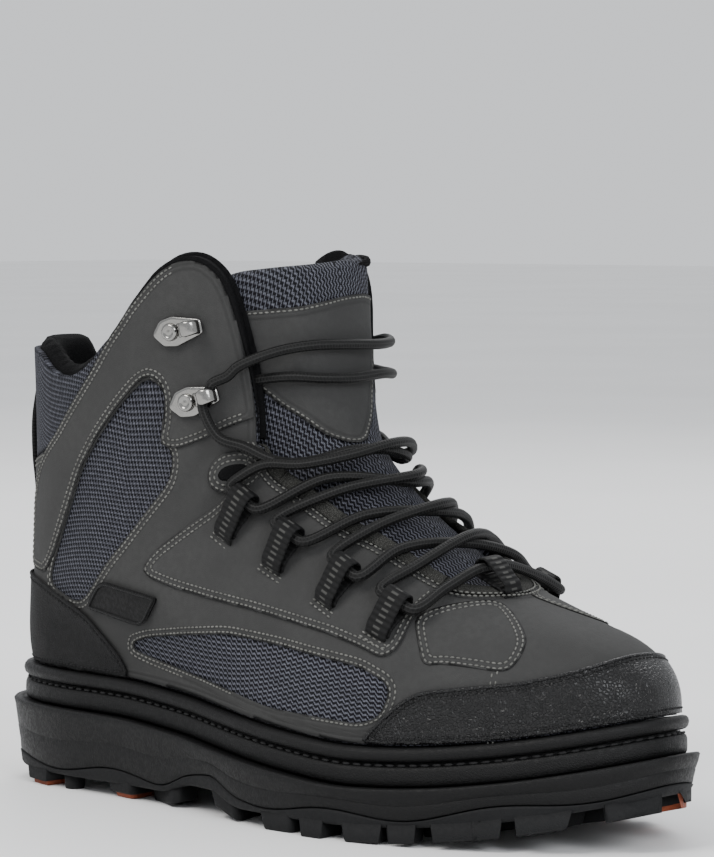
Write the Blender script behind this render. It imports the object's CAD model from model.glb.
"""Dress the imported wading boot: panels, stitches, sole, webbing, hooks and lace.

The sole and the upper's sections are those of the part's own source. The panels' outlines and the lace's
routes follow it too, moved a little where the photo asks for it. Lengths in tables are millimetres or
shares of the driving sizes. x runs from the heel's back to the toe, y to the inner side and z up.
"""

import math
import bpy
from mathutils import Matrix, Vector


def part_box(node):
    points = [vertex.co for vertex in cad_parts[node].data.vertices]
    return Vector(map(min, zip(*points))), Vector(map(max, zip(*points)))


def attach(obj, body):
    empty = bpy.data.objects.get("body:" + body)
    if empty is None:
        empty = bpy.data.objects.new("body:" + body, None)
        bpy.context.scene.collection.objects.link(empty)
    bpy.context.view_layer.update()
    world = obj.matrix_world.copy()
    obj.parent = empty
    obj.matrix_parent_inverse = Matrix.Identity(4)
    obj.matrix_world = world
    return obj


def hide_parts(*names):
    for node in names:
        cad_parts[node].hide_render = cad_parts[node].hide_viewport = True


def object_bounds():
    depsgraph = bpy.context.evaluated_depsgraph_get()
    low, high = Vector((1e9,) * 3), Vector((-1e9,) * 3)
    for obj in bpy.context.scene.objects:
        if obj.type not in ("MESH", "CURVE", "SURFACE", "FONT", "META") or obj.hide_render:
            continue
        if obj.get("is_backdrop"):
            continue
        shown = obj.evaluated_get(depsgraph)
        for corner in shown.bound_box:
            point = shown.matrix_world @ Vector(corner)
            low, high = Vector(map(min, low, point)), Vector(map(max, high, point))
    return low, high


bl_info = {
    "name": "Wading boot",
    "version": (1, 0, 0),
    "blender": (4, 5, 0),
    "location": "3D View > Sidebar > Boot",
    "description": "Builds the look of a laced wading boot on its packed frame",
    "category": "Object",
}

import bpy
import numpy as np
from mathutils import Vector
from mathutils.kdtree import KDTree

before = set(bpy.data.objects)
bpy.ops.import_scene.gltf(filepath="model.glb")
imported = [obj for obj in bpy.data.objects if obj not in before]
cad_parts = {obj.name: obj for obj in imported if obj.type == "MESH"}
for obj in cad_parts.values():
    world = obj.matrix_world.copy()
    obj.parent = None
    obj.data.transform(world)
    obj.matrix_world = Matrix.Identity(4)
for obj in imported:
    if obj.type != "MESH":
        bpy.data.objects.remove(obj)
cad_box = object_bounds()
sole_low, sole_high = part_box("sole_wall")

MM = 0.001
BODY = "root"
SOLE_LENGTH = sole_high[0] - sole_low[0]
BALL_WIDTH = sole_high[1] - sole_low[1]


# Properties


def length(name, description, default):
    """A length property in metres."""
    return bpy.props.FloatProperty(
        name=name, description=description, default=default, unit="LENGTH", precision=5
    )


def colour(name, description, default):
    """A colour property."""
    return bpy.props.FloatVectorProperty(
        name=name, description=description, default=default, subtype="COLOR", size=3, min=0, max=1
    )


class BootSizes(bpy.types.PropertyGroup):
    """Driving sizes of the boot's surfaces."""

    boot_height: length("Boot height", "Floor to the top of the flaps", 0.212)
    nubuck: length("Nubuck", "Thickness of one nubuck panel", 0.0008)
    rand: length("Rand", "Thickness of toe rand and heel counter", 0.0018)
    edge_round: length("Edge round", "Rounding of a panel's cut edge", 0.0005)
    lining: length("Lining", "Thickness of the padded collar", 0.0085)
    tongue: length("Tongue", "Thickness of the tongue", 0.0068)


class StitchSizes(bpy.types.PropertyGroup):
    """Sizes of the seams."""

    pitch: length("Pitch", "From one stitch to the next", 0.0022)
    thread: length("Thread", "Diameter of the thread", 0.0008)
    long: length("Stitch", "Length of a stitch", 0.0018)
    first_row: length("First row", "From a panel's edge to its first row", 0.0015)
    second_row: length("Second row", "From a panel's edge to its second row", 0.0034)


class LaceSizes(bpy.types.PropertyGroup):
    """Sizes of lace, webbing and hooks."""

    lace: length("Lace", "Diameter of the lace", 0.004)
    webbing_width: length("Webbing width", "Width of the loops", 0.0096)
    webbing_thickness: length("Webbing thickness", "Thickness of the loops", 0.0011)
    plate_length: length("Plate length", "Length of a hook's plate", 0.021)
    plate_width: length("Plate width", "Width of a hook's plate", 0.0116)


class BootColours(bpy.types.PropertyGroup):
    """Base colours of the finishes."""

    nubuck: colour("Nubuck", "Matte panels", (0.029, 0.029, 0.0285))
    grained: colour("Grained", "Toe rand and heel counter", (0.0055, 0.0055, 0.0058))
    weave_light: colour("Weave light", "Raised yarns of the mesh", (0.112, 0.116, 0.14))
    weave_dark: colour("Weave dark", "Ground of the mesh", (0.004, 0.004, 0.006))
    lining: colour("Lining", "Padded collar", (0.0042, 0.0042, 0.0046))
    thread: colour("Thread", "Seam thread", (0.13, 0.13, 0.12))
    webbing: colour("Webbing", "Loops and heel pull", (0.0065, 0.0065, 0.0068))
    lace: colour("Lace", "Round lace", (0.0075, 0.0075, 0.0073))
    rubber: colour("Rubber", "Sole wall and welt", (0.0048, 0.0048, 0.005))
    tread: colour("Tread", "Tread layer", (0.0095, 0.0098, 0.0105))
    shank: colour("Shank", "Oval under the waist", (0.11, 0.11, 0.105))
    contrast: colour("Contrast", "Contrast lugs", (0.19, 0.045, 0.02))
    metal: colour("Metal", "Hooks and rivets", (0.27, 0.266, 0.255))


PROPERTY_GROUPS = (
    ("boot_sizes", BootSizes),
    ("stitch_sizes", StitchSizes),
    ("lace_sizes", LaceSizes),
    ("boot_colours", BootColours),
)


def sizes():
    """The boot's driving sizes."""
    return bpy.context.scene.boot_sizes


# Curves of the tables


def mix(a, b, t):
    """a at t 0 and b at t 1."""
    return a + (b - a) * t


def smooth(start, end, x):
    """A soft step from 0 at start to 1 at end."""
    t = np.clip((x - start) / (end - start), 0, 1)
    return t * t * (3 - 2 * t)


def closing(t, power):
    """The quarter of a superellipse, from 0 at t 0 to 1 at t 1."""
    return (1 - (1 - np.clip(t, 0, 1)) ** power) ** (1 / power)


def column(rows, key, name):
    """A column of a table as a smooth function of another column, with no overshoot."""
    xs = np.array([row[key] for row in rows], float)
    ys = np.array([row[name] for row in rows], float)
    slope = np.diff(ys) / np.diff(xs)
    tangent = np.empty(len(xs))
    tangent[0], tangent[-1] = slope[0], slope[-1]
    product = slope[:-1] * slope[1:]
    total = np.where(product > 0, slope[:-1] + slope[1:], 1)
    tangent[1:-1] = np.where(product > 0, 2 * product / total, 0)

    def value(x):
        x = np.clip(x, xs[0], xs[-1])
        i = np.clip(np.searchsorted(xs, x, side="right") - 1, 0, len(slope) - 1)
        width = xs[i + 1] - xs[i]
        t = (x - xs[i]) / width
        cubic = ys[i] * (1 + 2 * t) * (1 - t) ** 2 + ys[i + 1] * t * t * (3 - 2 * t)
        return cubic + width * t * (1 - t) * (tangent[i] * (1 - t) - tangent[i + 1] * t)

    return value


def table(names, *rows):
    """A table with named columns."""
    keys = names.split()
    return [dict(zip(keys, row)) for row in rows]


# The sole's plan and heights, shares of the sole's length and of half the ball width

PLAN = table(
    "at lateral medial",
    (0.12, 0.66, 0.685),
    (0.195, 0.668, 0.685),
    (0.26, 0.684, 0.68),
    (0.32, 0.714, 0.673),
    (0.385, 0.766, 0.672),
    (0.445, 0.845, 0.683),
    (0.51, 0.93, 0.758),
    (0.565, 0.975, 0.858),
    (0.61, 0.998, 0.932),
    (0.665, 1.012, 0.98),
    (0.72, 1.02, 0.988),
    (0.78, 1.03, 0.965),
    (1, 1.04, 0.9),
)
PLAN_ENDS = {
    "lateral": {"heel_run": 0.195, "heel_power": 2.25, "toe_run": 0.39, "toe_power": 1.75},
    "medial": {"heel_run": 0.195, "heel_power": 2.25, "toe_run": 0.236, "toe_power": 2},
}
LIP = table(
    "at up", (0, 33), (0.25, 32), (0.36, 29.6), (0.47, 26), (0.58, 22.4), (0.68, 20.2), (1, 19.6)
)
TOE_SWING = 5 * MM
TOE_SPRING = 15.5 * MM
SPRING_FROM = 0.645
ARCH_DEPTH = 4.5 * MM
LUG_DEPTH = 5.5 * MM
TREAD_THICKNESS = 4 * MM
TREAD_WAVE = 3.4 * MM
LIP_TAPER = 2.6 * MM
STRIP_HEIGHT = 7.4 * MM
STRIP_INSET = 4.6 * MM
GROOVE_HEIGHT = 1.5 * MM
GROOVE_INSET = 7.2 * MM
BEAD_HEIGHT = 5.4 * MM
BEAD_INSET = 4 * MM
UPPER_INSET = 8.6 * MM
GAP = 0.3 * MM
HALF_BALL = BALL_WIDTH / 2
RING_POINTS = 110

plan_width = {side: column(PLAN, "at", side) for side in ("lateral", "medial")}
lip_up = column(LIP, "at", "up")


def centre_line(x):
    """The sole's centre line swings to the inner side at the toe."""
    return TOE_SWING * smooth(0.31 * SOLE_LENGTH, SOLE_LENGTH, x)


def half_width(side, x, inset):
    """From the centre line to the sole's edge."""
    end = PLAN_ENDS[side]
    heel = (x - inset) / (end["heel_run"] * SOLE_LENGTH - inset)
    toe = (SOLE_LENGTH - inset - x) / (end["toe_run"] * SOLE_LENGTH - inset)
    full = plan_width[side](x / SOLE_LENGTH) * HALF_BALL - inset
    return full * closing(heel, end["heel_power"]) * closing(toe, end["toe_power"])


def spring(x):
    """Rise of the toe."""
    return TOE_SPRING * np.clip((x / SOLE_LENGTH - SPRING_FROM) / (1 - SPRING_FROM), 0, 1) ** 2


def arch(x):
    """Hollow under the waist."""
    rise = smooth(0.335 * SOLE_LENGTH, 0.4 * SOLE_LENGTH, x)
    return ARCH_DEPTH * rise * (1 - smooth(0.44 * SOLE_LENGTH, 0.5 * SOLE_LENGTH, x))


def tread_base(x):
    """Underside of the tread layer."""
    return LUG_DEPTH + arch(x) + spring(x)


def tread_top(x):
    """Wavy upper line of the tread layer."""
    wave = 0.5 * np.sin(x / SOLE_LENGTH * 5 * 2 * math.pi)
    return tread_base(x) + TREAD_THICKNESS + TREAD_WAVE * wave


def lip(x):
    """Top of the side wall."""
    return lip_up(x / SOLE_LENGTH) * MM + spring(x)


def strip_top(x):
    """Top of the smooth strip."""
    return lip(x) + STRIP_HEIGHT


def groove_top(x):
    """Top of the groove under the bead."""
    return strip_top(x) + GROOVE_HEIGHT


def bead_top(x):
    """Top of the welt's bead."""
    return groove_top(x) + BEAD_HEIGHT


def feather(x):
    """Where the upper meets the welt."""
    return bead_top(x) + GAP


def ring(inset, height, half=RING_POINTS):
    """A closed loop round the sole, inset from its edge, at a height that follows the sole."""
    turn = np.linspace(0, math.pi, half + 1)
    x = mix(inset, SOLE_LENGTH - inset, 0.5 * (1 - np.cos(turn)))
    lateral = np.stack([x, centre_line(x) - half_width("lateral", x, inset), height(x)], 1)
    back = x[-2:0:-1]
    medial = np.stack([back, centre_line(back) + half_width("medial", back, inset), height(back)], 1)
    return np.concatenate([lateral, medial])


edge = ring(0, lip)[:, 1]
TO_FRAME = np.array([-SOLE_LENGTH / 2, -(edge.min() + edge.max()) / 2, 0])

# The upper's sections, as in the part's source

SECTIONS = table(
    "front_at front_up back_at back_up lateral medial widest base crown",
    (0.865, 0.366, 0.86, -0.057, 0.587, 0.685, 0.36, 7, 2.2),
    (0.808, 0.392, 0.803, -0.057, 0.7, 0.774, 0.36, 7, 2.2),
    (0.745, 0.427, 0.739, -0.057, 0.79, 0.831, 0.38, 7, 2.15),
    (0.698, 0.479, 0.667, -0.057, 0.848, 0.839, 0.38, 7, 2),
    (0.66, 0.524, 0.582, -0.057, 0.84, 0.79, 0.38, 7, 1.9),
    (0.638, 0.552, 0.487, -0.057, 0.799, 0.75, 0.4, 7, 1.9),
    (0.619, 0.575, 0.393, -0.057, 0.766, 0.733, 0.42, 7, 1.95),
    (0.601, 0.599, 0.299, -0.057, 0.75, 0.725, 0.44, 7, 2),
    (0.585, 0.623, 0.208, -0.057, 0.733, 0.717, 0.46, 6.5, 2.05),
    (0.572, 0.646, 0.126, -0.057, 0.72, 0.704, 0.47, 6, 2.1),
    (0.563, 0.665, 0.063, -0.05, 0.705, 0.69, 0.48, 4.2, 2.2),
    (0.553, 0.686, 0.034, -0.01, 0.697, 0.686, 0.49, 2.7, 2.3),
    (0.547, 0.708, 0.029, 0.118, 0.697, 0.686, 0.5, 2.15, 2.35),
    (0.541, 0.736, 0.034, 0.236, 0.7, 0.69, 0.51, 2.22, 2.4),
    (0.533, 0.792, 0.042, 0.368, 0.71, 0.7, 0.52, 2.22, 2.45),
    (0.525, 0.863, 0.042, 0.486, 0.728, 0.72, 0.53, 2.22, 2.5),
    (0.519, 0.958, 0.041, 0.618, 0.75, 0.742, 0.54, 2.22, 2.6),
    (0.513, 1.094, 0.041, 0.745, 0.76, 0.752, 0.55, 2.1, 2.6),
)
for number, row in enumerate(SECTIONS):
    row["number"] = number
SECTION_COLUMNS = {
    name: column(SECTIONS, "number", name) for name in SECTIONS[0] if name != "number"
}
TOP_SECTION = len(SECTIONS) - 1
TOE_TIP = SOLE_LENGTH - UPPER_INSET - 0.4 * MM
TOE_ROUND = 30 * MM
TOE_RIDGE = 0.335


def section_at(step):
    """Rows of section sizes. Steps below 0 are the toe's own sections: -1 is its tip."""
    step = np.asarray(step, float)
    row = {name: value(np.maximum(step, 0)) for name, value in SECTION_COLUMNS.items()}
    height = sizes().boot_height
    front = np.stack([row["front_at"] * SOLE_LENGTH, row["front_up"] * height], -1)
    back_x = row["back_at"] * SOLE_LENGTH
    back = np.stack([back_x, feather(back_x) + row["back_up"] * height], -1)
    lateral, medial = row["lateral"] * HALF_BALL, row["medial"] * HALF_BALL
    widest = row["widest"]
    share = np.clip(1 + step, 0, 1) ** 2
    run = TOE_TIP - front[..., 0]
    x = TOE_TIP - share * run
    ridge = mix(TOE_RIDGE * height, front[..., 1], share**1.5)
    close = closing(share * run / TOE_ROUND + 0.012, 2.4)
    toe = step < 0
    depth = share * (front[..., 0] - back[..., 0])
    toe_front = np.stack([x, mix(feather(x), ridge, close)], -1)
    toe_back = np.stack([x - depth, feather(x) - 12 * MM], -1)
    row["front"] = np.where(toe[..., None], toe_front, front)
    row["back"] = np.where(toe[..., None], toe_back, back)
    row["lateral"] = np.where(toe, np.maximum(0.5 * MM, half_width("lateral", x, UPPER_INSET)), lateral)
    row["medial"] = np.where(toe, np.maximum(0.5 * MM, half_width("medial", x, UPPER_INSET)), medial)
    row["widest"] = np.where(toe, mix(0.5, widest, share), widest)
    return row


def section_point(step, sweep, even=False):
    """A point of the upper: sweep 0 is the outer side's widest line, 90 the ridge, 180 the inner side.

    With even, the points lie evenly round the section; otherwise they lie as in the part's source.
    """
    row = section_at(step)
    sweep = np.asarray(sweep, float)
    inner = sweep > 90
    angle = np.radians(np.where(inner, 180 - sweep, sweep))
    power = np.where(angle < 0, row["base"], row["crown"])
    sine, cosine = np.abs(np.sin(angle)), np.clip(np.cos(angle), 0, 1)
    if even:
        radius = (sine**power + cosine**power) ** (-1 / power)
        along, out = radius * sine, radius * cosine
    else:
        along, out = sine ** (2 / power), cosine ** (2 / power)
    widest = row["widest"]
    share = np.where(angle < 0, widest * (1 - along), mix(widest, 1, along))
    back, front = row["back"], row["front"]
    x = mix(back[..., 0], front[..., 0], share)
    z = mix(back[..., 1], front[..., 1], share)
    rise = (feather(back[..., 0]) - back[..., 1]) / (front[..., 1] - back[..., 1])
    crossing = mix(back[..., 0], front[..., 0], rise)
    squareness = np.maximum(closing(rise / widest, row["base"]), 1e-6)
    blend = smooth(rise, widest, share)
    low = (rise > 0) & (share < widest)
    halves = []
    for side in ("lateral", "medial"):
        foot = half_width(side, crossing, UPPER_INSET) / squareness
        halves.append(np.where(low, mix(foot, row[side], blend), row[side]))
    half = np.where(inner, halves[1], halves[0])
    y = centre_line(x) + np.where(inner, 1, -1) * half * out
    return np.stack([x, y, z], -1)


def spot(step, sweep, rise=0.0, flip=False):
    """A place on the upper raised along its normal by millimetres, and that normal.

    With flip it is the same place on the other side.
    """
    sweep = 180 - sweep if flip else sweep
    point = section_point(step, sweep)
    along = section_point(step + 0.05, sweep) - section_point(step - 0.05, sweep)
    across = section_point(step, sweep + 1) - section_point(step, sweep - 1)
    normal = np.cross(across, along)
    normal /= np.linalg.norm(normal)
    return point + normal * rise * MM, normal


# Tools for meshes

SAMPLE_GAP = 0.3 * MM
CURVE_STEPS = 24


def distance_to_outline(points, outline):
    """Distance from flat points to a closed outline, positive inside it."""
    start, end = outline, np.roll(outline, -1, axis=0)
    best = np.full(len(points), np.inf)
    inside = np.zeros(len(points), bool)
    for a, b in zip(start, end):
        way = b - a
        share = np.clip((points - a) @ way / max(way @ way, 1e-18), 0, 1)
        best = np.minimum(best, np.linalg.norm(points - a - share[:, None] * way, axis=1))
        if a[1] != b[1]:
            spans = (a[1] > points[:, 1]) != (b[1] > points[:, 1])
            crossing = a[0] + (points[:, 1] - a[1]) / (b[1] - a[1]) * way[0]
            inside ^= spans & (points[:, 0] < crossing)
    return np.where(inside, best, -best)


def rounded(outline, corner):
    """A closed outline with each corner cut by a soft curve that starts this far from it."""
    outline = np.asarray(outline, float)
    points = []
    for before, here, after in zip(np.roll(outline, 1, 0), outline, np.roll(outline, -1, 0)):
        ends = []
        for other in (before, after):
            way = other - here
            far = np.linalg.norm(way)
            ends.append(here + way / far * min(corner, 0.45 * far))
        for t in (0, 0.25, 0.5, 0.75, 1):
            points.append((1 - t) ** 2 * ends[0] + 2 * t * (1 - t) * here + t * t * ends[1])
    return np.array(points)


def crossings(faces, field, shares):
    """Triangles that a field's zero line crosses, by how many corners it keeps."""
    inside = field > 0
    groups = []
    for kept in shares:
        part = faces[inside[faces].sum(1) == kept]
        lone = np.argmax(inside[part] == (kept == 1), axis=1)
        order = (lone[:, None] + np.arange(3)) % 3
        groups.append(np.take_along_axis(part, order, 1))
    (a, b, c), (d, e, f) = groups[0].T, groups[1].T
    start, end = np.concatenate([a, a, d, d]), np.concatenate([b, c, e, f])
    low, high = np.minimum(start, end), np.maximum(start, end)
    key, place = np.unique(low * len(field) + high, return_inverse=True)
    low, high = key // len(field), key % len(field)
    share = field[low] / (field[low] - field[high])
    return groups, low, high, share, place


def values_of(mesh):
    """Names and values of what a mesh holds for each point."""
    return [(name, value) for name, value in mesh.items() if name != "faces"]


def cut(mesh, field):
    """The part of a mesh where a field is positive. A mesh is a dict of faces and values by point."""
    faces = mesh["faces"]
    groups, low, high, share, place = crossings(faces, field, (1, 2))
    (a, _, _), (_, e, f) = groups[0].T, groups[1].T
    ab, ac, de, df = np.split(len(field) + place, np.cumsum([len(a), len(a), len(e)]))
    whole = faces[(field[faces] > 0).all(1)]
    parts = [whole, np.stack([a, ab, ac], 1), np.stack([de, e, f], 1), np.stack([de, f, df], 1)]
    used, index = np.unique(np.concatenate(parts), return_inverse=True)
    made = {"faces": index.reshape(-1, 3)}
    for name, value in values_of(mesh):
        t = share.reshape((-1,) + (1,) * (value.ndim - 1))
        made[name] = np.concatenate([value, value[low] + t * (value[high] - value[low])])[used]
    return made


def trace(mesh, field):
    """The lines on a mesh where a field is zero, each as its points and outward directions.

    The field is positive on the left of each line, seen from outside.
    """
    _, low, high, share, place = crossings(mesh["faces"], field, (1, 2))
    split = {}
    for name in ("points", "normals"):
        value = mesh[name]
        split[name] = value[low] + share[:, None] * (value[high] - value[low])
    count = (field > 0)[mesh["faces"]].sum(1)
    ones, twos = int((count == 1).sum()), int((count == 2).sum())
    ab, ac, de, df = np.split(place, [ones, 2 * ones, 2 * ones + twos])
    following = dict(zip(np.concatenate([ab, df]).tolist(), np.concatenate([ac, de]).tolist()))
    lines, seen = [], set()
    for start in sorted(set(following) - set(following.values())) + sorted(following):
        if start in seen:
            continue
        line, here = [start], start
        seen.add(start)
        while following.get(here) is not None and following[here] not in seen:
            here = following[here]
            seen.add(here)
            line.append(here)
        if len(line) > 3:
            if following.get(here) == start:
                line.append(start)
            lines.append((split["points"][line], split["normals"][line]))
    return lines


def run_along(points):
    """How far along a line each of its points is."""
    return np.concatenate([[0], np.cumsum(np.linalg.norm(np.diff(points, axis=0), axis=1))])


def spread(line, count):
    """Points at an even spacing along a line."""
    run = run_along(line)
    spots = np.linspace(0, run[-1], max(2, count))
    return np.stack([np.interp(spots, run, line[:, i]) for i in range(line.shape[1])], 1)


def true_distance(mesh, field):
    """Distance along the surface's own space to a field's zero line, with the field's sign."""
    samples = []
    for points, _ in trace(mesh, field):
        samples.append(spread(points, int(run_along(points)[-1] / SAMPLE_GAP)))
    samples = np.concatenate(samples)
    tree = KDTree(len(samples))
    for number, point in enumerate(samples):
        tree.insert(point, number)
    tree.balance()
    far = np.array([tree.find(point)[2] for point in mesh["points"]])
    return np.where(field > 0, far, -far)


def finer(mesh, times):
    """A mesh with each triangle split in four, as often as asked."""
    for _ in range(times):
        faces = mesh["faces"]
        count = len(mesh["points"])
        start, end = faces.ravel(), faces[:, [1, 2, 0]].ravel()
        pairs = np.minimum(start, end) * count + np.maximum(start, end)
        key, place_of = np.unique(pairs, return_inverse=True)
        a, b = key // count, key % count
        ab, bc, ca = (count + place_of.reshape(-1, 3)).T
        p, q, r = faces.T
        corners_of = [(p, ab, ca), (ab, q, bc), (ca, bc, r), (ab, bc, ca)]
        split = {name: np.concatenate([v, (v[a] + v[b]) / 2]) for name, v in values_of(mesh)}
        mesh = {**split, "faces": np.concatenate([np.stack(c, 1) for c in corners_of])}
    return mesh


def border(faces):
    """Edges of one triangle only, pointing the triangle's way."""
    edges = np.concatenate([faces[:, [0, 1]], faces[:, [1, 2]], faces[:, [2, 0]]])
    size = faces.max() + 1
    key, back = edges[:, 0] * size + edges[:, 1], edges[:, 1] * size + edges[:, 0]
    return edges[~np.isin(key, back)]


def unit(vectors):
    """Vectors of length 1."""
    return vectors / np.maximum(np.linalg.norm(vectors, axis=-1, keepdims=True), 1e-12)


# A panel's rounded edge: how far out and how far down, shares of its corner
EDGE_STEPS = [(0.45, 0.1), (0.8, 0.4), (1, 1)]


def panel(mesh, distance, lift, foot, corner):
    """A layer over the upper with a rounded cut edge: lift is its height, foot where its edge ends."""
    top = cut({**mesh, "edge": distance}, distance - corner)
    edges = border(top["faces"])
    count = len(top["points"])
    way = unit(top["points"][edges[:, 1]] - top["points"][edges[:, 0]])
    outward = np.zeros((count, 3))
    for end in (0, 1):
        np.add.at(outward, edges[:, end], np.cross(way, top["normals"][edges[:, end]]))
    rim = np.unique(edges)
    outward = unit(outward[rim])
    normal = top["normals"][rim]
    number = np.full(count, -1)
    number[rim] = np.arange(len(rim))
    made = {name: [value] for name, value in values_of(top)}
    made["points"] = [top["points"] + top["normals"] * lift]
    faces = [top["faces"]]
    last = rim
    steps = [(out * corner, lift - down * corner) for out, down in EDGE_STEPS] + [(corner, foot)]
    for step, (out, height) in enumerate(steps):
        start = count + step * len(rim)
        fresh = start + np.arange(len(rim))
        for name in made:
            if name == "points":
                made[name].append(top["points"][rim] + outward * out + normal * height)
            elif name == "edge":
                made[name].append(np.full(len(rim), corner - out))
            else:
                made[name].append(top[name][rim])
        a, b = edges[:, 0], edges[:, 1]
        near = [last[number[a]], last[number[b]]]
        far = [fresh[number[a]], fresh[number[b]]]
        faces += [np.stack([near[1], near[0], far[0]], 1), np.stack([near[1], far[0], far[1]], 1)]
        last = fresh
    made["faces"] = faces
    return {name: np.concatenate(parts) for name, parts in made.items()}


def pillow(mesh, distance, middle, thickness, edge):
    """A closed pad round a surface that lies middle behind the skin, thinning towards its border."""
    face = cut({**mesh, "edge": distance}, distance - 1e-5)
    half = 0.5 * thickness * closing(face["edge"] / edge, 2)[:, None]
    rim = np.unique(border(face["faces"]))
    half[rim] = 0
    centre = face["points"] - face["normals"] * middle
    count = len(centre)
    back = np.arange(count) + count
    back[rim] = rim
    both = {name: np.concatenate([value, value]) for name, value in values_of(face)}
    both["points"] = np.concatenate([centre + face["normals"] * half, centre - face["normals"] * half])
    faces = np.concatenate([face["faces"], back[face["faces"][:, ::-1]]])
    used, index = np.unique(faces, return_inverse=True)
    both["back"] = np.repeat([0.0, 1.0], count)
    made = {name: value[used] for name, value in both.items()}
    made["faces"] = index.reshape(-1, 3)
    return made


def sweep(points, normals, profile):
    """A profile of (across, out) places carried along a line; out follows the given directions."""
    points = np.asarray(points, float)
    along = unit(np.gradient(points, axis=0))
    out = np.asarray(normals, float)
    out = unit(out - (out * along).sum(1, keepdims=True) * along)
    across = np.cross(out, along)
    profile = np.asarray(profile, float)
    if profile.ndim == 2:
        profile = np.repeat(profile[None], len(points), 0)
    rings = points[:, None] + across[:, None] * profile[..., :1] + out[:, None] * profile[..., 1:]
    run = run_along(points)
    side = np.linalg.norm(np.roll(profile[0], -1, 0) - profile[0], axis=1)
    share = np.concatenate([[0], np.cumsum(side)]) / side.sum()
    rows, sides = rings.shape[:2]
    i, k = (grid.ravel() for grid in np.mgrid[0 : rows - 1, 0:sides])
    j, m = i + 1, (k + 1) % sides
    quads = np.stack([i * sides + k, j * sides + k, j * sides + m, i * sides + m], 1)
    corner_uv = np.stack([run[[i, i + 1, i + 1, i]].T, share[[k, k, k + 1, k + 1]].T], -1).reshape(-1, 2)
    faces = quads.tolist()
    faces.append(list(range(sides)))
    faces.append([(rows - 1) * sides + k for k in reversed(range(sides))])
    corner_uv = np.concatenate([corner_uv, np.zeros((2 * sides, 2))])
    return {"points": rings.reshape(-1, 3), "faces": faces, "corner_uv": corner_uv}


def circle(sides):
    """Places round a circle of diameter 1."""
    turn = np.linspace(0, 2 * math.pi, sides, endpoint=False)
    return 0.5 * np.stack([np.cos(turn), np.sin(turn)], 1)


def round_profile(radius, sides):
    """Places round a circle, clockwise seen along the line."""
    return circle(sides) * (2 * radius, -2 * radius)


def flat_profile(width, thickness):
    """Places round a flat strip with soft edges, clockwise seen along the line."""
    w, t = width / 2, thickness / 2
    half = [(-w, 0), (-w + 0.6 * t, 0.8 * t), (-w + 1.6 * t, t), (-0.12 * w, t), (0.12 * w, t)]
    half += [(w - 1.6 * t, t), (w - 0.6 * t, 0.8 * t), (w, 0)]
    under = [(x, -y) for x, y in reversed(half[1:-1])]
    return np.array(half + under)


def smooth_line(points, spacing):
    """A centripetal Catmull-Rom curve through points, read off at an even spacing."""
    points = np.asarray(points, float)
    run = np.concatenate([2 * points[:1] - points[1:2], points, 2 * points[-1:] - points[-2:-1]])
    pieces = []
    t = np.linspace(0, 1, CURVE_STEPS, endpoint=False)[:, None]
    for a, b, c, d in zip(run, run[1:], run[2:], run[3:]):
        gaps = [max(np.linalg.norm(q - p), 1e-9) ** 0.5 for p, q in ((a, b), (b, c), (c, d))]
        start, low, high, end = np.cumsum([0] + gaps)
        k = low + t * (high - low)

        def blend(p, q, before, after):
            return (p * (after - k) + q * (k - before)) / (after - before)

        middle = blend(b, c, low, high)
        first = blend(blend(a, b, start, low), middle, start, high)
        last = blend(middle, blend(c, d, high, end), low, end)
        pieces.append(blend(first, last, low, high))
    pieces.append(run[-2:-1])
    line = np.concatenate(pieces)
    return spread(line, round(run_along(line)[-1] / spacing) + 1)


def place(name, mesh, material, nodes=(), slot=None):
    """A piece of the scene from a mesh dict: it rides on the boot and stands for the given nodes."""
    data = bpy.data.meshes.new(name)
    points = np.asarray(mesh["points"]) + TO_FRAME
    faces = mesh["faces"]
    data.from_pydata(points.tolist(), [], faces.tolist() if isinstance(faces, np.ndarray) else faces)
    if "uv" in mesh or "corner_uv" in mesh:
        corners = np.empty(len(data.loops), int)
        data.loops.foreach_get("vertex_index", corners)
        places = mesh["corner_uv"] if "corner_uv" in mesh else mesh["uv"][corners]
        data.uv_layers.new(name="UVMap").data.foreach_set("uv", places.astype(np.float32).ravel())
    for value in ("edge", "back"):
        if value in mesh:
            attribute = data.attributes.new(value, "FLOAT", "POINT")
            attribute.data.foreach_set("value", mesh[value].astype(np.float32))
    data.validate()
    data.shade_smooth()
    piece = bpy.data.objects.new(name, data)
    bpy.context.scene.collection.objects.link(piece)
    data.materials.append(material)
    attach(piece, BODY)
    if nodes:
        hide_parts(*nodes)
    return piece


def joined(meshes):
    """Several mesh dicts as one."""
    names = set.intersection(*(set(m) for m in meshes)) - {"faces"}
    start, faces = 0, []
    for m in meshes:
        faces += [tuple(int(i) + start for i in face) for face in m["faces"]]
        start += len(m["points"])
    made = {name: np.concatenate([np.asarray(m[name]) for m in meshes]) for name in names}
    made["faces"] = faces
    return made


def carried(points):
    """Directions square to a line that turn with it as little as they can."""
    along = unit(np.gradient(points, axis=0))
    here = np.cross(along[0], [0.0, 0.0, 1.0])
    outs = []
    for way in along:
        here = here - (here @ way) * way
        here = here / np.linalg.norm(here)
        outs.append(here)
    return np.array(outs)


def grid_faces(rows, columns):
    """Triangles of a grid of points, closed round its columns."""
    r, c = (grid.ravel() for grid in np.mgrid[0 : rows - 1, 0:columns])
    d = (c + 1) % columns
    near, far = r * columns, (r + 1) * columns
    triangles = [np.stack([near + c, far + c, far + d], 1), np.stack([near + c, far + d, near + d], 1)]
    return np.concatenate(triangles)


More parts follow.
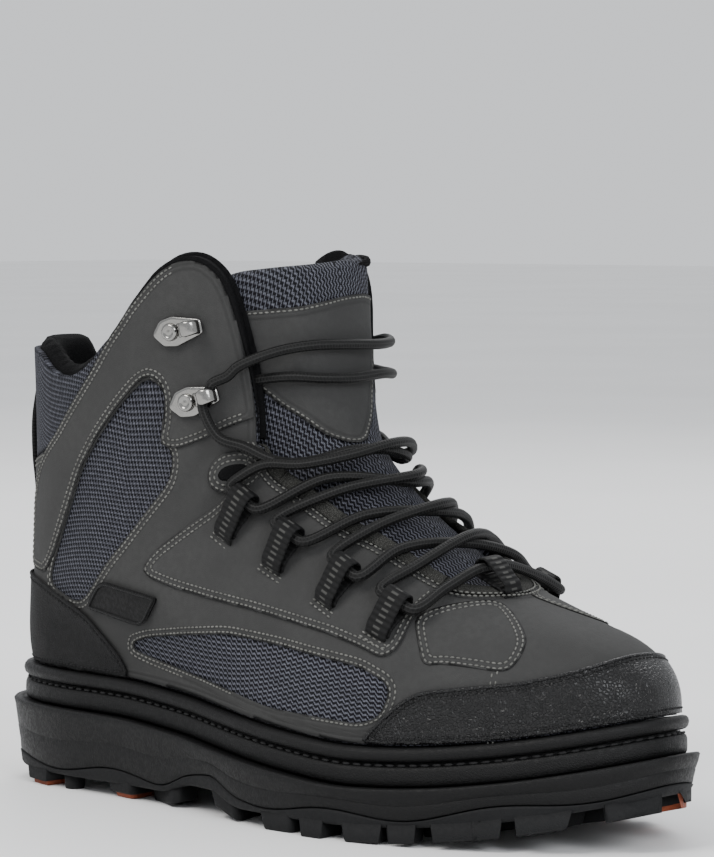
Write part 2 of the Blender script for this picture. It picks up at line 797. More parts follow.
def lid(half):
    """Triangles across a loop of twice as many points, in strips from its one end to the other."""
    count = 2 * half
    a = np.arange(half)
    b, c, d = a + 1, (count - a - 1) % count, (count - a) % count
    triangles = np.concatenate([np.stack([a, b, c], 1), np.stack([a, c, d], 1)])
    return triangles[(triangles[:, 0] != triangles[:, 2]) & (triangles[:, 1] != triangles[:, 2])]


def layer(inset, low, high, rows):
    """A layer of the sole, closed at both ends, along a low and a high line.

    A row holds what is added to the inset in millimetres, the share of the way from the low line to the
    high one, and a rise in millimetres. Rows go from the bottom up.
    """
    loops = []
    for more, share, rise in rows:
        loops.append(ring(inset + more * MM, lambda x: mix(low(x), high(x), share) + rise * MM))
    count = len(loops[0])
    sides = grid_faces(len(loops), count)[:, ::-1]
    faces = [sides, lid(RING_POINTS)[:, ::-1], lid(RING_POINTS) + (len(loops) - 1) * count]
    return {"points": np.concatenate(loops), "faces": np.concatenate(faces)}


def capped(rings):
    """Rings of points from the bottom up as one closed body."""
    count = len(rings[0])
    faces = grid_faces(len(rings), count)[:, ::-1].tolist()
    faces.append(list(reversed(range(count))))
    faces.append([(len(rings) - 1) * count + k for k in range(count)])
    return {"points": np.concatenate(rings), "faces": faces}


# Finishes


def add(tree, kind, inputs=None, **settings):
    """A node with its settings and its inputs, each a value or another node's output."""
    node = tree.nodes.new(kind)
    for name, value in settings.items():
        setattr(node, name, value)
    for key, value in (inputs or {}).items():
        if isinstance(value, bpy.types.NodeSocket):
            tree.links.new(value, node.inputs[key])
        else:
            node.inputs[key].default_value = value
    return node


def maths(tree, operation, *values, clamp=False):
    """The output of a Math node."""
    node = add(tree, "ShaderNodeMath", dict(enumerate(values)), operation=operation, use_clamp=clamp)
    return node.outputs[0]


def band(tree, value, low, high, start=0.0, end=1.0):
    """A value mapped from one range to another, softly."""
    inputs = {"Value": value, "From Min": low, "From Max": high, "To Min": start, "To Max": end}
    return add(tree, "ShaderNodeMapRange", inputs, interpolation_type="SMOOTHSTEP").outputs["Result"]


def blended(tree, factor, first, second, share=1.0):
    """A colour between two others, at a factor of which a share counts."""
    inputs = {"Factor": factor if share == 1 else maths(tree, "MULTIPLY", factor, share)}
    node = add(tree, "ShaderNodeMix", inputs, data_type="RGBA")
    for index, value in ((6, first), (7, second)):
        if isinstance(value, bpy.types.NodeSocket):
            tree.links.new(value, node.inputs[index])
        else:
            node.inputs[index].default_value = (*value[:3], 1)
    return node.outputs[2]


def effect(name, inputs, outputs, build):
    """A shader group: build gets its tree and inputs, and returns its outputs in order."""
    if name in bpy.data.node_groups:
        return bpy.data.node_groups[name]
    tree = bpy.data.node_groups.new(name, "ShaderNodeTree")
    for title, default in inputs:
        socket = tree.interface.new_socket(title, in_out="INPUT", socket_type="NodeSocketFloat")
        socket.default_value = default
    for title in outputs:
        tree.interface.new_socket(title, in_out="OUTPUT", socket_type="NodeSocketFloat")
    start = tree.nodes.new("NodeGroupInput")
    end = tree.nodes.new("NodeGroupOutput")
    results = build(tree, start.outputs)
    for title, value in zip(outputs, results):
        tree.links.new(value, end.inputs[title])
    return tree


def build_grain(tree, values):
    """Pebbled or napped skin of a hide."""
    where = add(tree, "ShaderNodeTexCoord").outputs["Object"]
    cells = add(
        tree,
        "ShaderNodeTexVoronoi",
        {"Vector": where, "Scale": values["Scale"]},
        feature="DISTANCE_TO_EDGE",
    )
    fine = add(tree, "ShaderNodeTexNoise", {"Vector": where, "Scale": values["Nap"], "Detail": 4.0})
    pebble = band(tree, cells.outputs["Distance"], 0.0, 0.22)
    height = add(
        tree,
        "ShaderNodeMix",
        {"Factor": values["Share"], 2: fine.outputs[0], 3: pebble},
        data_type="FLOAT",
    )
    return height.outputs[0], pebble


def build_mottle(tree, values):
    """Uneven tone: large soft clouds and fine specks."""
    where = add(tree, "ShaderNodeTexCoord").outputs["Object"]
    cloud = add(tree, "ShaderNodeTexNoise", {"Vector": where, "Scale": values["Cloud"], "Detail": 3.0})
    speck = add(tree, "ShaderNodeTexNoise", {"Vector": where, "Scale": values["Speck"], "Detail": 5.0})
    clouds = band(tree, cloud.outputs[0], 0.3, 0.7)
    specks = band(tree, speck.outputs[0], 0.35, 0.65)
    return clouds, specks


def build_seam(tree, values):
    """Pressed lines beside a panel's edge, and its worn rim, from the distance to the edge."""
    edge = add(tree, "ShaderNodeAttribute", attribute_name="edge").outputs["Fac"]
    rim = band(tree, edge, 0.0, values["Rim"], 1.0, 0.0)
    pressed = []
    for row in ("First row", "Second row"):
        off = maths(tree, "ABSOLUTE", maths(tree, "SUBTRACT", edge, values[row]))
        pressed.append(band(tree, off, 0.0, 0.0011, 1.0, 0.0))
    return rim, maths(tree, "MAXIMUM", *pressed)


def build_knit(tree, values):
    """Zigzag columns of a knitted mesh on the piece's own map."""
    uv = add(tree, "ShaderNodeUVMap", uv_map="UVMap").outputs["UV"]
    split = add(tree, "ShaderNodeSeparateXYZ", {"Vector": uv}).outputs
    row = maths(tree, "DIVIDE", split["Y"], values["Row"])
    swing = maths(tree, "PINGPONG", row, 1.0)
    column = maths(tree, "DIVIDE", split["X"], values["Column"])
    bent = maths(tree, "ADD", column, maths(tree, "MULTIPLY", swing, values["Swing"]))
    ridge = maths(tree, "SINE", maths(tree, "MULTIPLY", bent, 2 * math.pi))
    loops = maths(tree, "SINE", maths(tree, "MULTIPLY", row, 4 * math.pi))
    both = maths(tree, "ADD", maths(tree, "MULTIPLY", ridge, 0.36), maths(tree, "MULTIPLY", loops, 0.14))
    height = maths(tree, "ADD", both, 0.5, clamp=True)
    return height, band(tree, height, 0.35, 0.85)


def build_braid(tree, values):
    """Crossing yarns round a lace or across a webbing, on the piece's own map."""
    uv = add(tree, "ShaderNodeUVMap", uv_map="UVMap").outputs["UV"]
    split = add(tree, "ShaderNodeSeparateXYZ", {"Vector": uv}).outputs
    along = maths(tree, "DIVIDE", split["X"], values["Pitch"])
    around = maths(tree, "MULTIPLY", split["Y"], values["Yarns"])
    slant = maths(tree, "MULTIPLY", around, values["Slant"])
    first = maths(tree, "SINE", maths(tree, "MULTIPLY", maths(tree, "ADD", along, slant), 2 * math.pi))
    second = maths(tree, "SINE", maths(tree, "MULTIPLY", maths(tree, "SUBTRACT", along, slant), 2 * math.pi))
    crossed = maths(tree, "MAXIMUM", first, second)
    height = maths(tree, "MULTIPLY_ADD", crossed, 0.5, 0.5)
    line = maths(tree, "ABSOLUTE", maths(tree, "SUBTRACT", maths(tree, "FRACT", around), 0.5))
    return height, band(tree, line, 0.0, 0.2, 1.0, 0.0)


# Each effect's group name, its inputs with their defaults, its outputs and its maker
EFFECTS = {
    "grain": (
        "Boot grain",
        (("Scale", 900.0), ("Nap", 2500.0), ("Share", 0.5)),
        ("Height", "Pebble"),
        build_grain,
    ),
    "mottle": (
        "Boot mottle",
        (("Cloud", 30.0), ("Speck", 500.0)),
        ("Cloud", "Speck"),
        build_mottle,
    ),
    "seam": (
        "Boot seam",
        (("Rim", 0.0006), ("First row", 0.0015), ("Second row", 0.0034)),
        ("Rim", "Pressed"),
        build_seam,
    ),
    "knit": (
        "Boot knit",
        (("Column", 0.0012), ("Row", 0.0012), ("Swing", 0.8)),
        ("Height", "Yarn"),
        build_knit,
    ),
    "braid": (
        "Boot braid",
        (("Pitch", 0.0016), ("Yarns", 8.0), ("Slant", 0.5)),
        ("Height", "Line"),
        build_braid,
    ),
}


def use(tree, name, **values):
    """An effect's group placed in a material with its own values."""
    node = add(tree, "ShaderNodeGroup", node_tree=effect(*EFFECTS[name]))
    for key, value in values.items():
        node.inputs[key.capitalize()].default_value = value
    return node


def start_material(name, **sockets):
    """A new material, its tree and its shader with plain values set."""
    material = bpy.data.materials.new(name)
    material.use_nodes = True
    tree = material.node_tree
    shader = tree.nodes["Principled BSDF"]
    sockets.setdefault("Specular_IOR_Level", 0.28)
    for title, value in sockets.items():
        shader.inputs[title.replace("_", " ")].default_value = value
    return material, tree, shader


def finish_material(tree, shader, colour_output, roughness, bumps):
    """Links colour, roughness and a stack of bumps, each a height, its depth and its strength."""
    tree.links.new(colour_output, shader.inputs["Base Color"])
    if isinstance(roughness, bpy.types.NodeSocket):
        tree.links.new(roughness, shader.inputs["Roughness"])
    else:
        shader.inputs["Roughness"].default_value = roughness
    normal = None
    for height, depth, strength in bumps:
        node = add(tree, "ShaderNodeBump", {"Height": height, "Distance": depth, "Strength": strength})
        if normal is not None:
            tree.links.new(normal, node.inputs["Normal"])
        normal = node.outputs["Normal"]
    tree.links.new(normal, shader.inputs["Normal"])


def lighter(value, factor):
    """A colour made lighter or darker."""
    return tuple(min(1.0, channel * factor) for channel in value)


def hide_material(name, base, roughness, scale, nap, share, depth, rim_light, press=0.5, fleck=(0.35, 0.72)):
    """A panel's hide: grain or nap, mottled tone, worn rim and pressed seams."""
    material, tree, shader = start_material(name)
    grain = use(tree, "grain", scale=scale, nap=nap, share=share).outputs
    mottle = use(tree, "mottle", cloud=38.0, speck=420.0).outputs
    seam = use(tree, "seam").outputs
    tone = blended(tree, mottle["Cloud"], lighter(base, 0.84), lighter(base, 1.16))
    tone = blended(tree, mottle["Speck"], tone, lighter(base, fleck[1]), fleck[0])
    pits = maths(tree, "SUBTRACT", 1.0, grain["Pebble"])
    tone = blended(tree, pits, tone, lighter(base, 0.45), 0.55 * share)
    tone = blended(tree, seam["Rim"], tone, lighter(base, rim_light), 0.7)
    tone = blended(tree, seam["Pressed"], tone, lighter(base, 0.5), press)
    rough = band(tree, mottle["Cloud"], 0.0, 1.0, roughness - 0.05, roughness + 0.05)
    raised = maths(tree, "SUBTRACT", 1.0, seam["Pressed"])
    bumps = [(raised, 0.25 * MM, 0.7), (grain["Height"], depth, 0.8)]
    finish_material(tree, shader, tone, rough, bumps)
    return material


def knit_material(name, base, column, row, swing, depth):
    """A knitted mesh with light zigzag yarns over a dark ground."""
    ground = tuple(bpy.context.scene.boot_colours.weave_dark)
    material, tree, shader = start_material(name, Specular_IOR_Level=0.15)
    knit = use(tree, "knit", column=column, row=row, swing=swing).outputs
    mottle = use(tree, "mottle", cloud=60.0, speck=900.0).outputs
    tone = blended(tree, knit["Yarn"], ground, base)
    tone = blended(tree, mottle["Speck"], tone, ground, 0.4)
    finish_material(tree, shader, tone, 0.85, [(knit["Height"], depth, 1.0)])
    return material


def rubber_material(name, base, roughness, specks, depth):
    """Moulded rubber with a dull bloom, faint specks and a soft pebbled skin."""
    material, tree, shader = start_material(name, Specular_IOR_Level=0.2)
    mottle = use(tree, "mottle", cloud=22.0, speck=700.0).outputs
    grain = use(tree, "grain", scale=1100.0, nap=1800.0, share=0.35).outputs
    tone = blended(tree, mottle["Cloud"], lighter(base, 0.8), lighter(base, 1.25))
    tone = blended(tree, mottle["Speck"], tone, lighter(base, 1.8), specks)
    rough = band(tree, mottle["Speck"], 0.0, 1.0, roughness - 0.05, roughness + 0.07)
    finish_material(tree, shader, tone, rough, [(grain["Height"], depth, 0.6)])
    return material


def webbing_material(name, base, pitch, dashes):
    """Ribbed webbing; dashes is the share of a light thread run along its middle."""
    colours = bpy.context.scene.boot_colours
    material, tree, shader = start_material(name, Specular_IOR_Level=0.2)
    uv = add(tree, "ShaderNodeUVMap", uv_map="UVMap").outputs["UV"]
    split = add(tree, "ShaderNodeSeparateXYZ", {"Vector": uv}).outputs
    along = maths(tree, "DIVIDE", split["X"], pitch)
    wave = maths(tree, "SINE", maths(tree, "MULTIPLY", along, 2 * math.pi))
    rib = maths(tree, "MULTIPLY_ADD", wave, 0.5, 0.5)
    twice = maths(tree, "FRACT", maths(tree, "MULTIPLY", split["Y"], 2.0))
    middle = maths(tree, "ABSOLUTE", maths(tree, "SUBTRACT", twice, 0.5))
    column = band(tree, middle, 0.13, 0.17, 1.0, 0.0)
    dash = maths(tree, "MULTIPLY", column, band(tree, rib, 0.55, 0.8))
    mottle = use(tree, "mottle", cloud=80.0, speck=1200.0).outputs
    tone = blended(tree, rib, lighter(base, 0.5), lighter(base, 1.7))
    tone = blended(tree, mottle["Speck"], tone, lighter(base, 0.5), 0.3)
    tone = blended(tree, maths(tree, "MULTIPLY", dash, dashes), tone, tuple(colours.thread))
    finish_material(tree, shader, tone, 0.72, [(rib, 0.3 * MM, 1.0), (dash, 0.3 * MM, dashes)])
    return material


def braid_material(name, base, pitch, yarns, line_light):
    """A braided cord with a few lighter yarns along it."""
    material, tree, shader = start_material(name, Specular_IOR_Level=0.2)
    braid = use(tree, "braid", pitch=pitch, yarns=yarns, slant=0.5).outputs
    mottle = use(tree, "mottle", cloud=90.0, speck=1500.0).outputs
    tone = blended(tree, braid["Height"], lighter(base, 0.35), lighter(base, 1.5))
    tone = blended(tree, braid["Line"], tone, lighter(base, line_light), 0.9)
    tone = blended(tree, mottle["Speck"], tone, lighter(base, 0.6), 0.25)
    finish_material(tree, shader, tone, 0.6, [(braid["Height"], 0.2 * MM, 0.8)])
    return material


def thread_material(name, base):
    """Twisted thread, a little uneven in tone."""
    material, tree, shader = start_material(name)
    mottle = use(tree, "mottle", cloud=200.0, speck=3000.0).outputs
    tone = blended(tree, mottle["Cloud"], lighter(base, 0.7), lighter(base, 1.1))
    finish_material(tree, shader, tone, 0.8, [(mottle["Speck"], 0.1 * MM, 0.8)])
    return material


def lining_material(name, base, scale):
    """Soft brushed knit, nearly black."""
    material, tree, shader = start_material(name, Specular_IOR_Level=0.1)
    grain = use(tree, "grain", scale=scale, nap=2200.0, share=0.6).outputs
    mottle = use(tree, "mottle", cloud=50.0, speck=900.0).outputs
    tone = blended(tree, grain["Pebble"], lighter(base, 0.5), lighter(base, 1.6))
    tone = blended(tree, mottle["Speck"], tone, lighter(base, 0.7), 0.4)
    finish_material(tree, shader, tone, 0.9, [(grain["Height"], 0.3 * MM, 0.9)])
    return material


def metal_material(name, base):
    """Polished steel with fine scratches and dull spots."""
    material, tree, shader = start_material(name, Metallic=1.0, Specular_IOR_Level=0.5)
    where = add(tree, "ShaderNodeTexCoord").outputs["Object"]
    stretched = add(tree, "ShaderNodeMapping", {"Vector": where, "Scale": (300.0, 300.0, 6000.0)})
    lines = add(tree, "ShaderNodeTexNoise", {"Vector": stretched.outputs[0], "Scale": 1.0, "Detail": 3.0})
    mottle = use(tree, "mottle", cloud=150.0, speck=1200.0).outputs
    tone = blended(tree, mottle["Cloud"], base, lighter(base, 0.7), 0.4)
    rough = band(tree, mottle["Speck"], 0.0, 1.0, 0.12, 0.22)
    finish_material(tree, shader, tone, rough, [(lines.outputs[0], 0.02 * MM, 0.15)])
    return material


# Each finish: its maker, its base colour, how much lighter it is made, and its settings
FINISHES = {
    "worn_nubuck": (hide_material, "nubuck", 1.12, {
        "roughness": 0.86, "scale": 1500.0, "nap": 1900.0, "share": 0.15, "depth": 0.15 * MM,
        "rim_light": 1.5,
    }),
    "rand_hide": (hide_material, "grained", 1.25, {
        "roughness": 0.36, "scale": 780.0, "nap": 2500.0, "share": 0.95, "depth": 0.4 * MM, "rim_light": 1.3,
        "press": 0.2,
    }),
    "counter_hide": (hide_material, "grained", 0.4, {
        "roughness": 0.8, "scale": 1000.0, "nap": 2000.0, "share": 0.8, "depth": 0.5 * MM, "rim_light": 1.3,
        "press": 0.2, "fleck": (0.8, 4.0),
    }),
    "zigzag_mesh": (knit_material, "weave_light", 1, {
        "column": 1.7 * MM, "row": 1.4 * MM, "swing": 0.55, "depth": 0.5 * MM,
    }),
    "fine_mesh": (knit_material, "weave_light", 1, {
        "column": 1.2 * MM, "row": 1.1 * MM, "swing": 0.5, "depth": 0.4 * MM,
    }),
    "padding": (lining_material, "lining", 1, {"scale": 1400.0}),
    "binding_tape": (lining_material, "lining", 1, {"scale": 2200.0}),
    "edge_tape": (lining_material, "thread", 0.25, {"scale": 1500.0}),
    "loop_webbing": (webbing_material, "webbing", 0.5, {"pitch": 2.3 * MM, "dashes": 0.32}),
    "pull_webbing": (webbing_material, "webbing", 1, {"pitch": 1.4 * MM, "dashes": 0.0}),
    "braided_lace": (braid_material, "lace", 0.45, {"pitch": 1.3 * MM, "yarns": 8.0, "line_light": 7.0}),
    "seam_thread": (thread_material, "thread", 1, {}),
    "dark_thread": (thread_material, "grained", 1.4, {}),
    "wall_rubber": (rubber_material, "rubber", 0.45, {"roughness": 0.5, "specks": 0.2, "depth": 0.3 * MM}),
    "tread_rubber": (rubber_material, "tread", 0.55, {"roughness": 0.7, "specks": 0.35, "depth": 0.2 * MM}),
    "contrast_rubber": (rubber_material, "contrast", 1, {
        "roughness": 0.6, "specks": 0.25, "depth": 0.2 * MM,
    }),
    "shank_rubber": (rubber_material, "shank", 1, {"roughness": 0.6, "specks": 0.2, "depth": 0.2 * MM}),
    "badge_rubber": (rubber_material, "rubber", 0.3, {"roughness": 0.6, "specks": 0.1, "depth": 0.15 * MM}),
    "steel": (metal_material, "metal", 1, {}),
}


def finish(name):
    """A material of the boot, made on first use."""
    if name in bpy.data.materials:
        return bpy.data.materials[name]
    maker, key, factor, settings = FINISHES[name]
    return maker(name, lighter(getattr(bpy.context.scene.boot_colours, key), factor), **settings)


# Outlines of the panels in side view: x and z, shares of the sole's length and of the boot's height

COLLAR_SHARES = [
    (-0.031, 0.817), (0.05, 0.817), (0.085, 0.813), (0.115, 0.804), (0.134, 0.787), (0.153, 0.775),
    (0.177, 0.768), (0.2, 0.772), (0.228, 0.792), (0.255, 0.825), (0.28, 0.854), (0.308, 0.898),
    (0.336, 0.936), (0.358, 0.963), (0.381, 0.98), (0.399, 0.985), (0.418, 0.98), (0.437, 0.957),
    (0.449, 0.92), (0.459, 0.858), (0.469, 0.778), (0.475, 0.708), (0.475, 0.656),
]
RAND_SHARES = [
    (0.645, 0), (0.673, 0.151), (0.695, 0.189), (0.73, 0.241), (0.755, 0.262), (0.786, 0.269),
    (0.862, 0.283), (0.906, 0.3), (0.934, 0.316), (0.953, 0.335), (1.038, 0.425), (1.038, 0),
]
COUNTER_SHARES = [
    (-0.031, 0.396), (0.063, 0.394), (0.113, 0.387), (0.145, 0.375), (0.182, 0.356), (0.217, 0.33),
    (0.242, 0.297), (0.261, 0.264), (0.27, 0.231), (0.277, 0.198), (0.283, 0), (-0.031, 0),
]
EYESTAY_SHARES = [
    (0.321, 0.425), (0.33, 0.413), (0.349, 0.406), (0.384, 0.396), (0.44, 0.384), (0.5, 0.373),
    (0.566, 0.358), (0.629, 0.344), (0.679, 0.325), (0.711, 0.309), (0.726, 0.33), (0.726, 0.387),
    (0.742, 0.472), (0.535, 0.708), (0.462, 0.646), (0.453, 0.594), (0.425, 0.547), (0.368, 0.491),
    (0.343, 0.467), (0.324, 0.439),
]
FLAP_SHARES = [
    (0.075, 0.406), (0.126, 0.396), (0.148, 0.434), (0.17, 0.491), (0.192, 0.547), (0.214, 0.604),
    (0.245, 0.66), (0.283, 0.717), (0.318, 0.762), (0.333, 0.774), (0.349, 0.769), (0.358, 0.745),
    (0.357, 0.698), (0.346, 0.651), (0.374, 0.644), (0.412, 0.663), (0.437, 0.684), (0.472, 0.703),
    (0.503, 0.717), (0.503, 1.085), (0.371, 1.085), (0.345, 0.976), (0.318, 0.927), (0.291, 0.875),
    (0.262, 0.825), (0.238, 0.783), (0.212, 0.743), (0.187, 0.706), (0.16, 0.665), (0.13, 0.632),
    (0.104, 0.594), (0.085, 0.528),
]
BADGE_SHARES = [(0.247, 0.404), (0.358, 0.382), (0.322, 0.322), (0.211, 0.345)]
TONGUE_SHARES = [
    (0.375, 0.942), (0.4, 0.965), (0.45, 0.992), (0.5, 0.998), (0.6, 0.996), (0.9, 0.7), (0.9, 0.35),
    (0.8, 0.35), (0.755, 0.36), (0.68, 0.39), (0.6, 0.445), (0.5, 0.53), (0.44, 0.62), (0.405, 0.72),
    (0.385, 0.84),
]
# Seen from above: x and the half-width, shares of the sole's length and of half the ball width
THROAT_SHARES = [
    (0.45, 0.545), (0.513, 0.49), (0.588, 0.47), (0.651, 0.44), (0.711, 0.4), (0.742, 0.32),
    (0.764, 0.19), (0.775, 0.05),
]
# In side view, x and z in millimetres
LOWER_WINDOW = [
    (88, 60), (101, 64), (126, 67), (149, 69), (176, 67), (202, 64), (218, 62), (227, 58), (228, 54),
    (225, 46), (217, 43), (196, 44), (172, 45), (122, 53), (99, 57),
]
ANKLE_WINDOW = [
    (107, 163), (102, 161), (90, 151), (78, 139), (68, 127), (61, 115), (54, 103), (47, 90), (43, 82),
    (63, 75), (72, 82), (80, 91), (90, 100), (99, 109), (107, 117), (115, 125), (117, 135), (110, 140),
    (113, 152), (113, 159),
]
HEEL_WINDOW = [
    (-20, 126), (10, 127), (25, 129), (40, 133), (52, 140), (62, 150), (80, 166), (97, 185), (116, 207),
    (122, 228), (-20, 228),
]
LACE_SLOT = [(138, 125), (147, 127), (150, 130.5), (146, 133), (139, 131.5), (136, 128)]
# Seen from above, on the outer side: x and y in millimetres
VAMP_PATCH = [
    (230, -34), (232, -37), (237, -40), (242, -40), (256, -35), (269, -30), (272, -26), (271, -19),
    (260, -12), (248, -7),
]
# Seen from the front: y and z in millimetres
TONGUE_PATCH = [
    (-46, 188), (-42, 180), (-34, 169), (-26, 156), (-17, 143), (-9, 139), (0, 140), (9, 149), (17, 166),
    (24, 182), (27, 193), (14, 196), (0, 195), (-22, 191),
]
PANELS = {
    "eyestay": EYESTAY_SHARES,
    "flap": FLAP_SHARES,
    "rand": RAND_SHARES,
    "counter": COUNTER_SHARES,
    "badge": BADGE_SHARES,
}
# How far up the collar takes away, a share of the boot's height
OPENING_TOP = 1.6
# How much sooner the collar dips on the inner side, and where that fades out, shares of the length
MEDIAL_DIP = 0.115
DIP_FADE = (0.08, 0.26)
DIP_BLEND = 18 * MM
# Below this share of the boot's height the throat takes nothing away
THROAT_LOW = 0.28
# More than any distance that a field needs
FAR = 20 * MM


def plain_outline(points, corner):
    """An outline given in millimetres, in metres and with soft corners."""
    return rounded(np.array(points) * MM, corner * MM)


def side_outline(shares, corner=4 * MM):
    """A side-view outline in metres, with soft corners."""
    return rounded(np.array(shares) * (SOLE_LENGTH, sizes().boot_height), corner)


def collar_outline():
    """What the collar's line takes away in side view."""
    height = sizes().boot_height
    line = smooth_line(np.array(COLLAR_SHARES) * (SOLE_LENGTH, height), 2 * MM)
    top = OPENING_TOP * height
    return np.concatenate([line, [(SOLE_LENGTH, line[-1, 1]), (SOLE_LENGTH, top), (line[0, 0], top)]])


def throat_outline():
    """What the throat takes away, seen from above."""
    rows = np.array(THROAT_SHARES)
    x = rows[:, 0] * SOLE_LENGTH
    half = rows[:, 1] * HALF_BALL
    lateral = smooth_line(np.stack([x, centre_line(x) - half], 1), 2 * MM)
    medial = smooth_line(np.stack([x, centre_line(x) + half], 1), 2 * MM)
    return np.concatenate([lateral, medial[::-1]])


# The upper's surface

TOE_ROWS = 30
BODY_ROWS = 170
COLUMNS = 160
# Behind the heel the surface is evened out: where that fades along and upwards, how often, how much
HEEL_ALONG = (60 * MM, 95 * MM)
HEEL_UP = (95 * MM, 125 * MM)
HEEL_PASSES = 60
HEEL_SHARE = 0.5
# Creases: x, z, half-length, angle of its run in degrees, half-width and depth in millimetres, side
CREASES = [
    (129, 128, 16, 62, 5, 1.35, -1),
    (138, 120, 13, 52, 4, 1.05, -1),
    (232, 60, 12, 70, 5, 1.2, -1),
    (240, 66, 10, 62, 4, 0.9, -1),
    (120, 100, 18, 30, 7, 0.75, -1),
    (60, 110, 20, 60, 8, 0.9, -1),
    (150, 92, 22, 12, 7, 0.75, -1),
    (129, 128, 16, 62, 5, 1.35, 1),
    (232, 60, 12, 70, 5, 1.2, 1),
    (66, 120, 20, 55, 8, 0.9, 1),
]
# The soft roll beside a crease: its height, a share of the depth, and its place in half-widths
ROLL_HEIGHT = 0.6
ROLL_PLACE = 1.7
kept = {}


def evened_heel(points):
    """The grid of the upper's points with its heel evened out."""
    behind = 1 - smooth(*HEEL_ALONG, points[..., 0])
    share = (HEEL_SHARE * behind * (1 - smooth(*HEEL_UP, points[..., 2])))[..., None]
    for _ in range(HEEL_PASSES):
        beside = (np.roll(points, 1, 1) + np.roll(points, -1, 1)) / 4
        beside[1:-1] += (points[2:] + points[:-2]) / 4
        points[1:-1] += (share * (beside - points))[1:-1]
    return points


def creased(points, normals):
    """The grid of the upper's points pushed in along its creases."""
    flat = points[..., [0, 2]] / MM
    for x, z, reach, turn, wide, depth, side in CREASES:
        way = np.array([math.cos(math.radians(turn)), math.sin(math.radians(turn))])
        away = flat - (x, z)
        run, off = away @ way / reach, away @ (-way[1], way[0]) / wide
        trough = np.exp(-(off**2)) - ROLL_HEIGHT * np.exp(-((off - ROLL_PLACE) ** 2))
        near = side * (points[..., 1] - centre_line(points[..., 0])) > 0
        points = points - normals * (np.exp(-(run**2)) * trough * depth * near * MM)[..., None]
    return points


def upper_skin():
    """The upper's outer face as a mesh with directions, a map in metres and soft creases."""
    if "skin" in kept:
        return kept["skin"]
    toe_steps = np.linspace(-1, 0, TOE_ROWS, endpoint=False)
    steps = np.concatenate([toe_steps, np.linspace(0, TOP_SECTION, BODY_ROWS)])
    sweeps = np.linspace(-90, 270, COLUMNS, endpoint=False)
    step, angle = np.meshgrid(steps, sweeps, indexing="ij")
    points = evened_heel(section_point(step, angle, even=True))
    along = np.gradient(points, axis=0)
    across = np.roll(points, -1, 1) - np.roll(points, 1, 1)
    normals = unit(np.cross(across, along))
    points = creased(points, normals)
    gaps = np.linalg.norm(np.roll(points, -1, 1) - points, axis=-1)
    ridge = COLUMNS // 2
    round_run = np.cumsum(gaps, axis=1) - gaps
    u = np.abs(round_run - round_run[:, ridge : ridge + 1])
    climb = np.cumsum(np.linalg.norm(np.diff(points, axis=0), axis=-1), 0)
    v = np.concatenate([np.zeros((1, COLUMNS)), climb])
    kept["skin"] = {
        "points": points.reshape(-1, 3),
        "normals": normals.reshape(-1, 3),
        "uv": np.stack([u, v], -1).reshape(-1, 2),
        "faces": np.concatenate([grid_faces(len(steps), COLUMNS), lid(ridge)]),
    }
    return kept["skin"]


def side_view(points):
    """x and z of points."""
    return points[:, [0, 2]]


def side_distance(points, outline):
    """Distance of points to an outline in side view, positive inside it."""
    return distance_to_outline(side_view(points), outline)


def opening_field(grow=0.0):
    """Positive on the upper where neither collar, throat nor welt cuts it."""
    points = upper_skin()["points"]
    side = side_view(points)
    medial = smooth(0, DIP_BLEND, points[:, 1] - centre_line(points[:, 0]))
    side[:, 0] += MEDIAL_DIP * SOLE_LENGTH * medial * (1 - smooth(*DIP_FADE, points[:, 0] / SOLE_LENGTH))
    collar = grow - distance_to_outline(side, collar_outline())
    throat = -distance_to_outline(points[:, :2], throat_outline())
    low = points[:, 2] < THROAT_LOW * sizes().boot_height
    throat = np.where(low, np.maximum(throat, FAR), throat)
    welt = points[:, 2] - feather(points[:, 0])
    return np.minimum(np.minimum(collar, throat), welt)


def region(name):
    """True distance to the border of one of the upper's regions, kept for the next piece."""
    if name in kept:
        return kept[name]
    skin = upper_skin()
    points = skin["points"]
    if name == "upper":
        field = opening_field()
    elif name == "quarter":
        field = region("upper")
        for window in (LOWER_WINDOW, ANKLE_WINDOW, HEEL_WINDOW):
            field = np.minimum(field, -side_distance(points, plain_outline(window, 5)))
    elif name == "patch":
        outline = plain_outline(VAMP_PATCH, 7)
        both = [distance_to_outline(points[:, :2] * (1, sign), outline) for sign in (1, -1)]
        field = np.minimum(np.maximum(*both), points[:, 2] - 50 * MM)
    else:
        field = side_distance(points, side_outline(PANELS[name]))
        if name == "badge":
            field = np.where(points[:, 1] < centre_line(points[:, 0]), field, -FAR)
        field = np.minimum(field, opening_field())
    kept[name] = true_distance(skin, field)
    return kept[name]


def rows_beside(name, level, lift, shown=None):
    """Lines on the upper at a distance inside a region's border, split where shown is negative."""
    skin = upper_skin()
    if shown is not None:
        skin = cut({**skin, "level": region(name) - level}, shown)
        lines = trace(skin, skin["level"])
    else:
        lines = trace(skin, region(name) - level)
    return [(points + normals * lift, normals) for points, normals in lines]


# Stitches

STITCH_TURN = 0.06

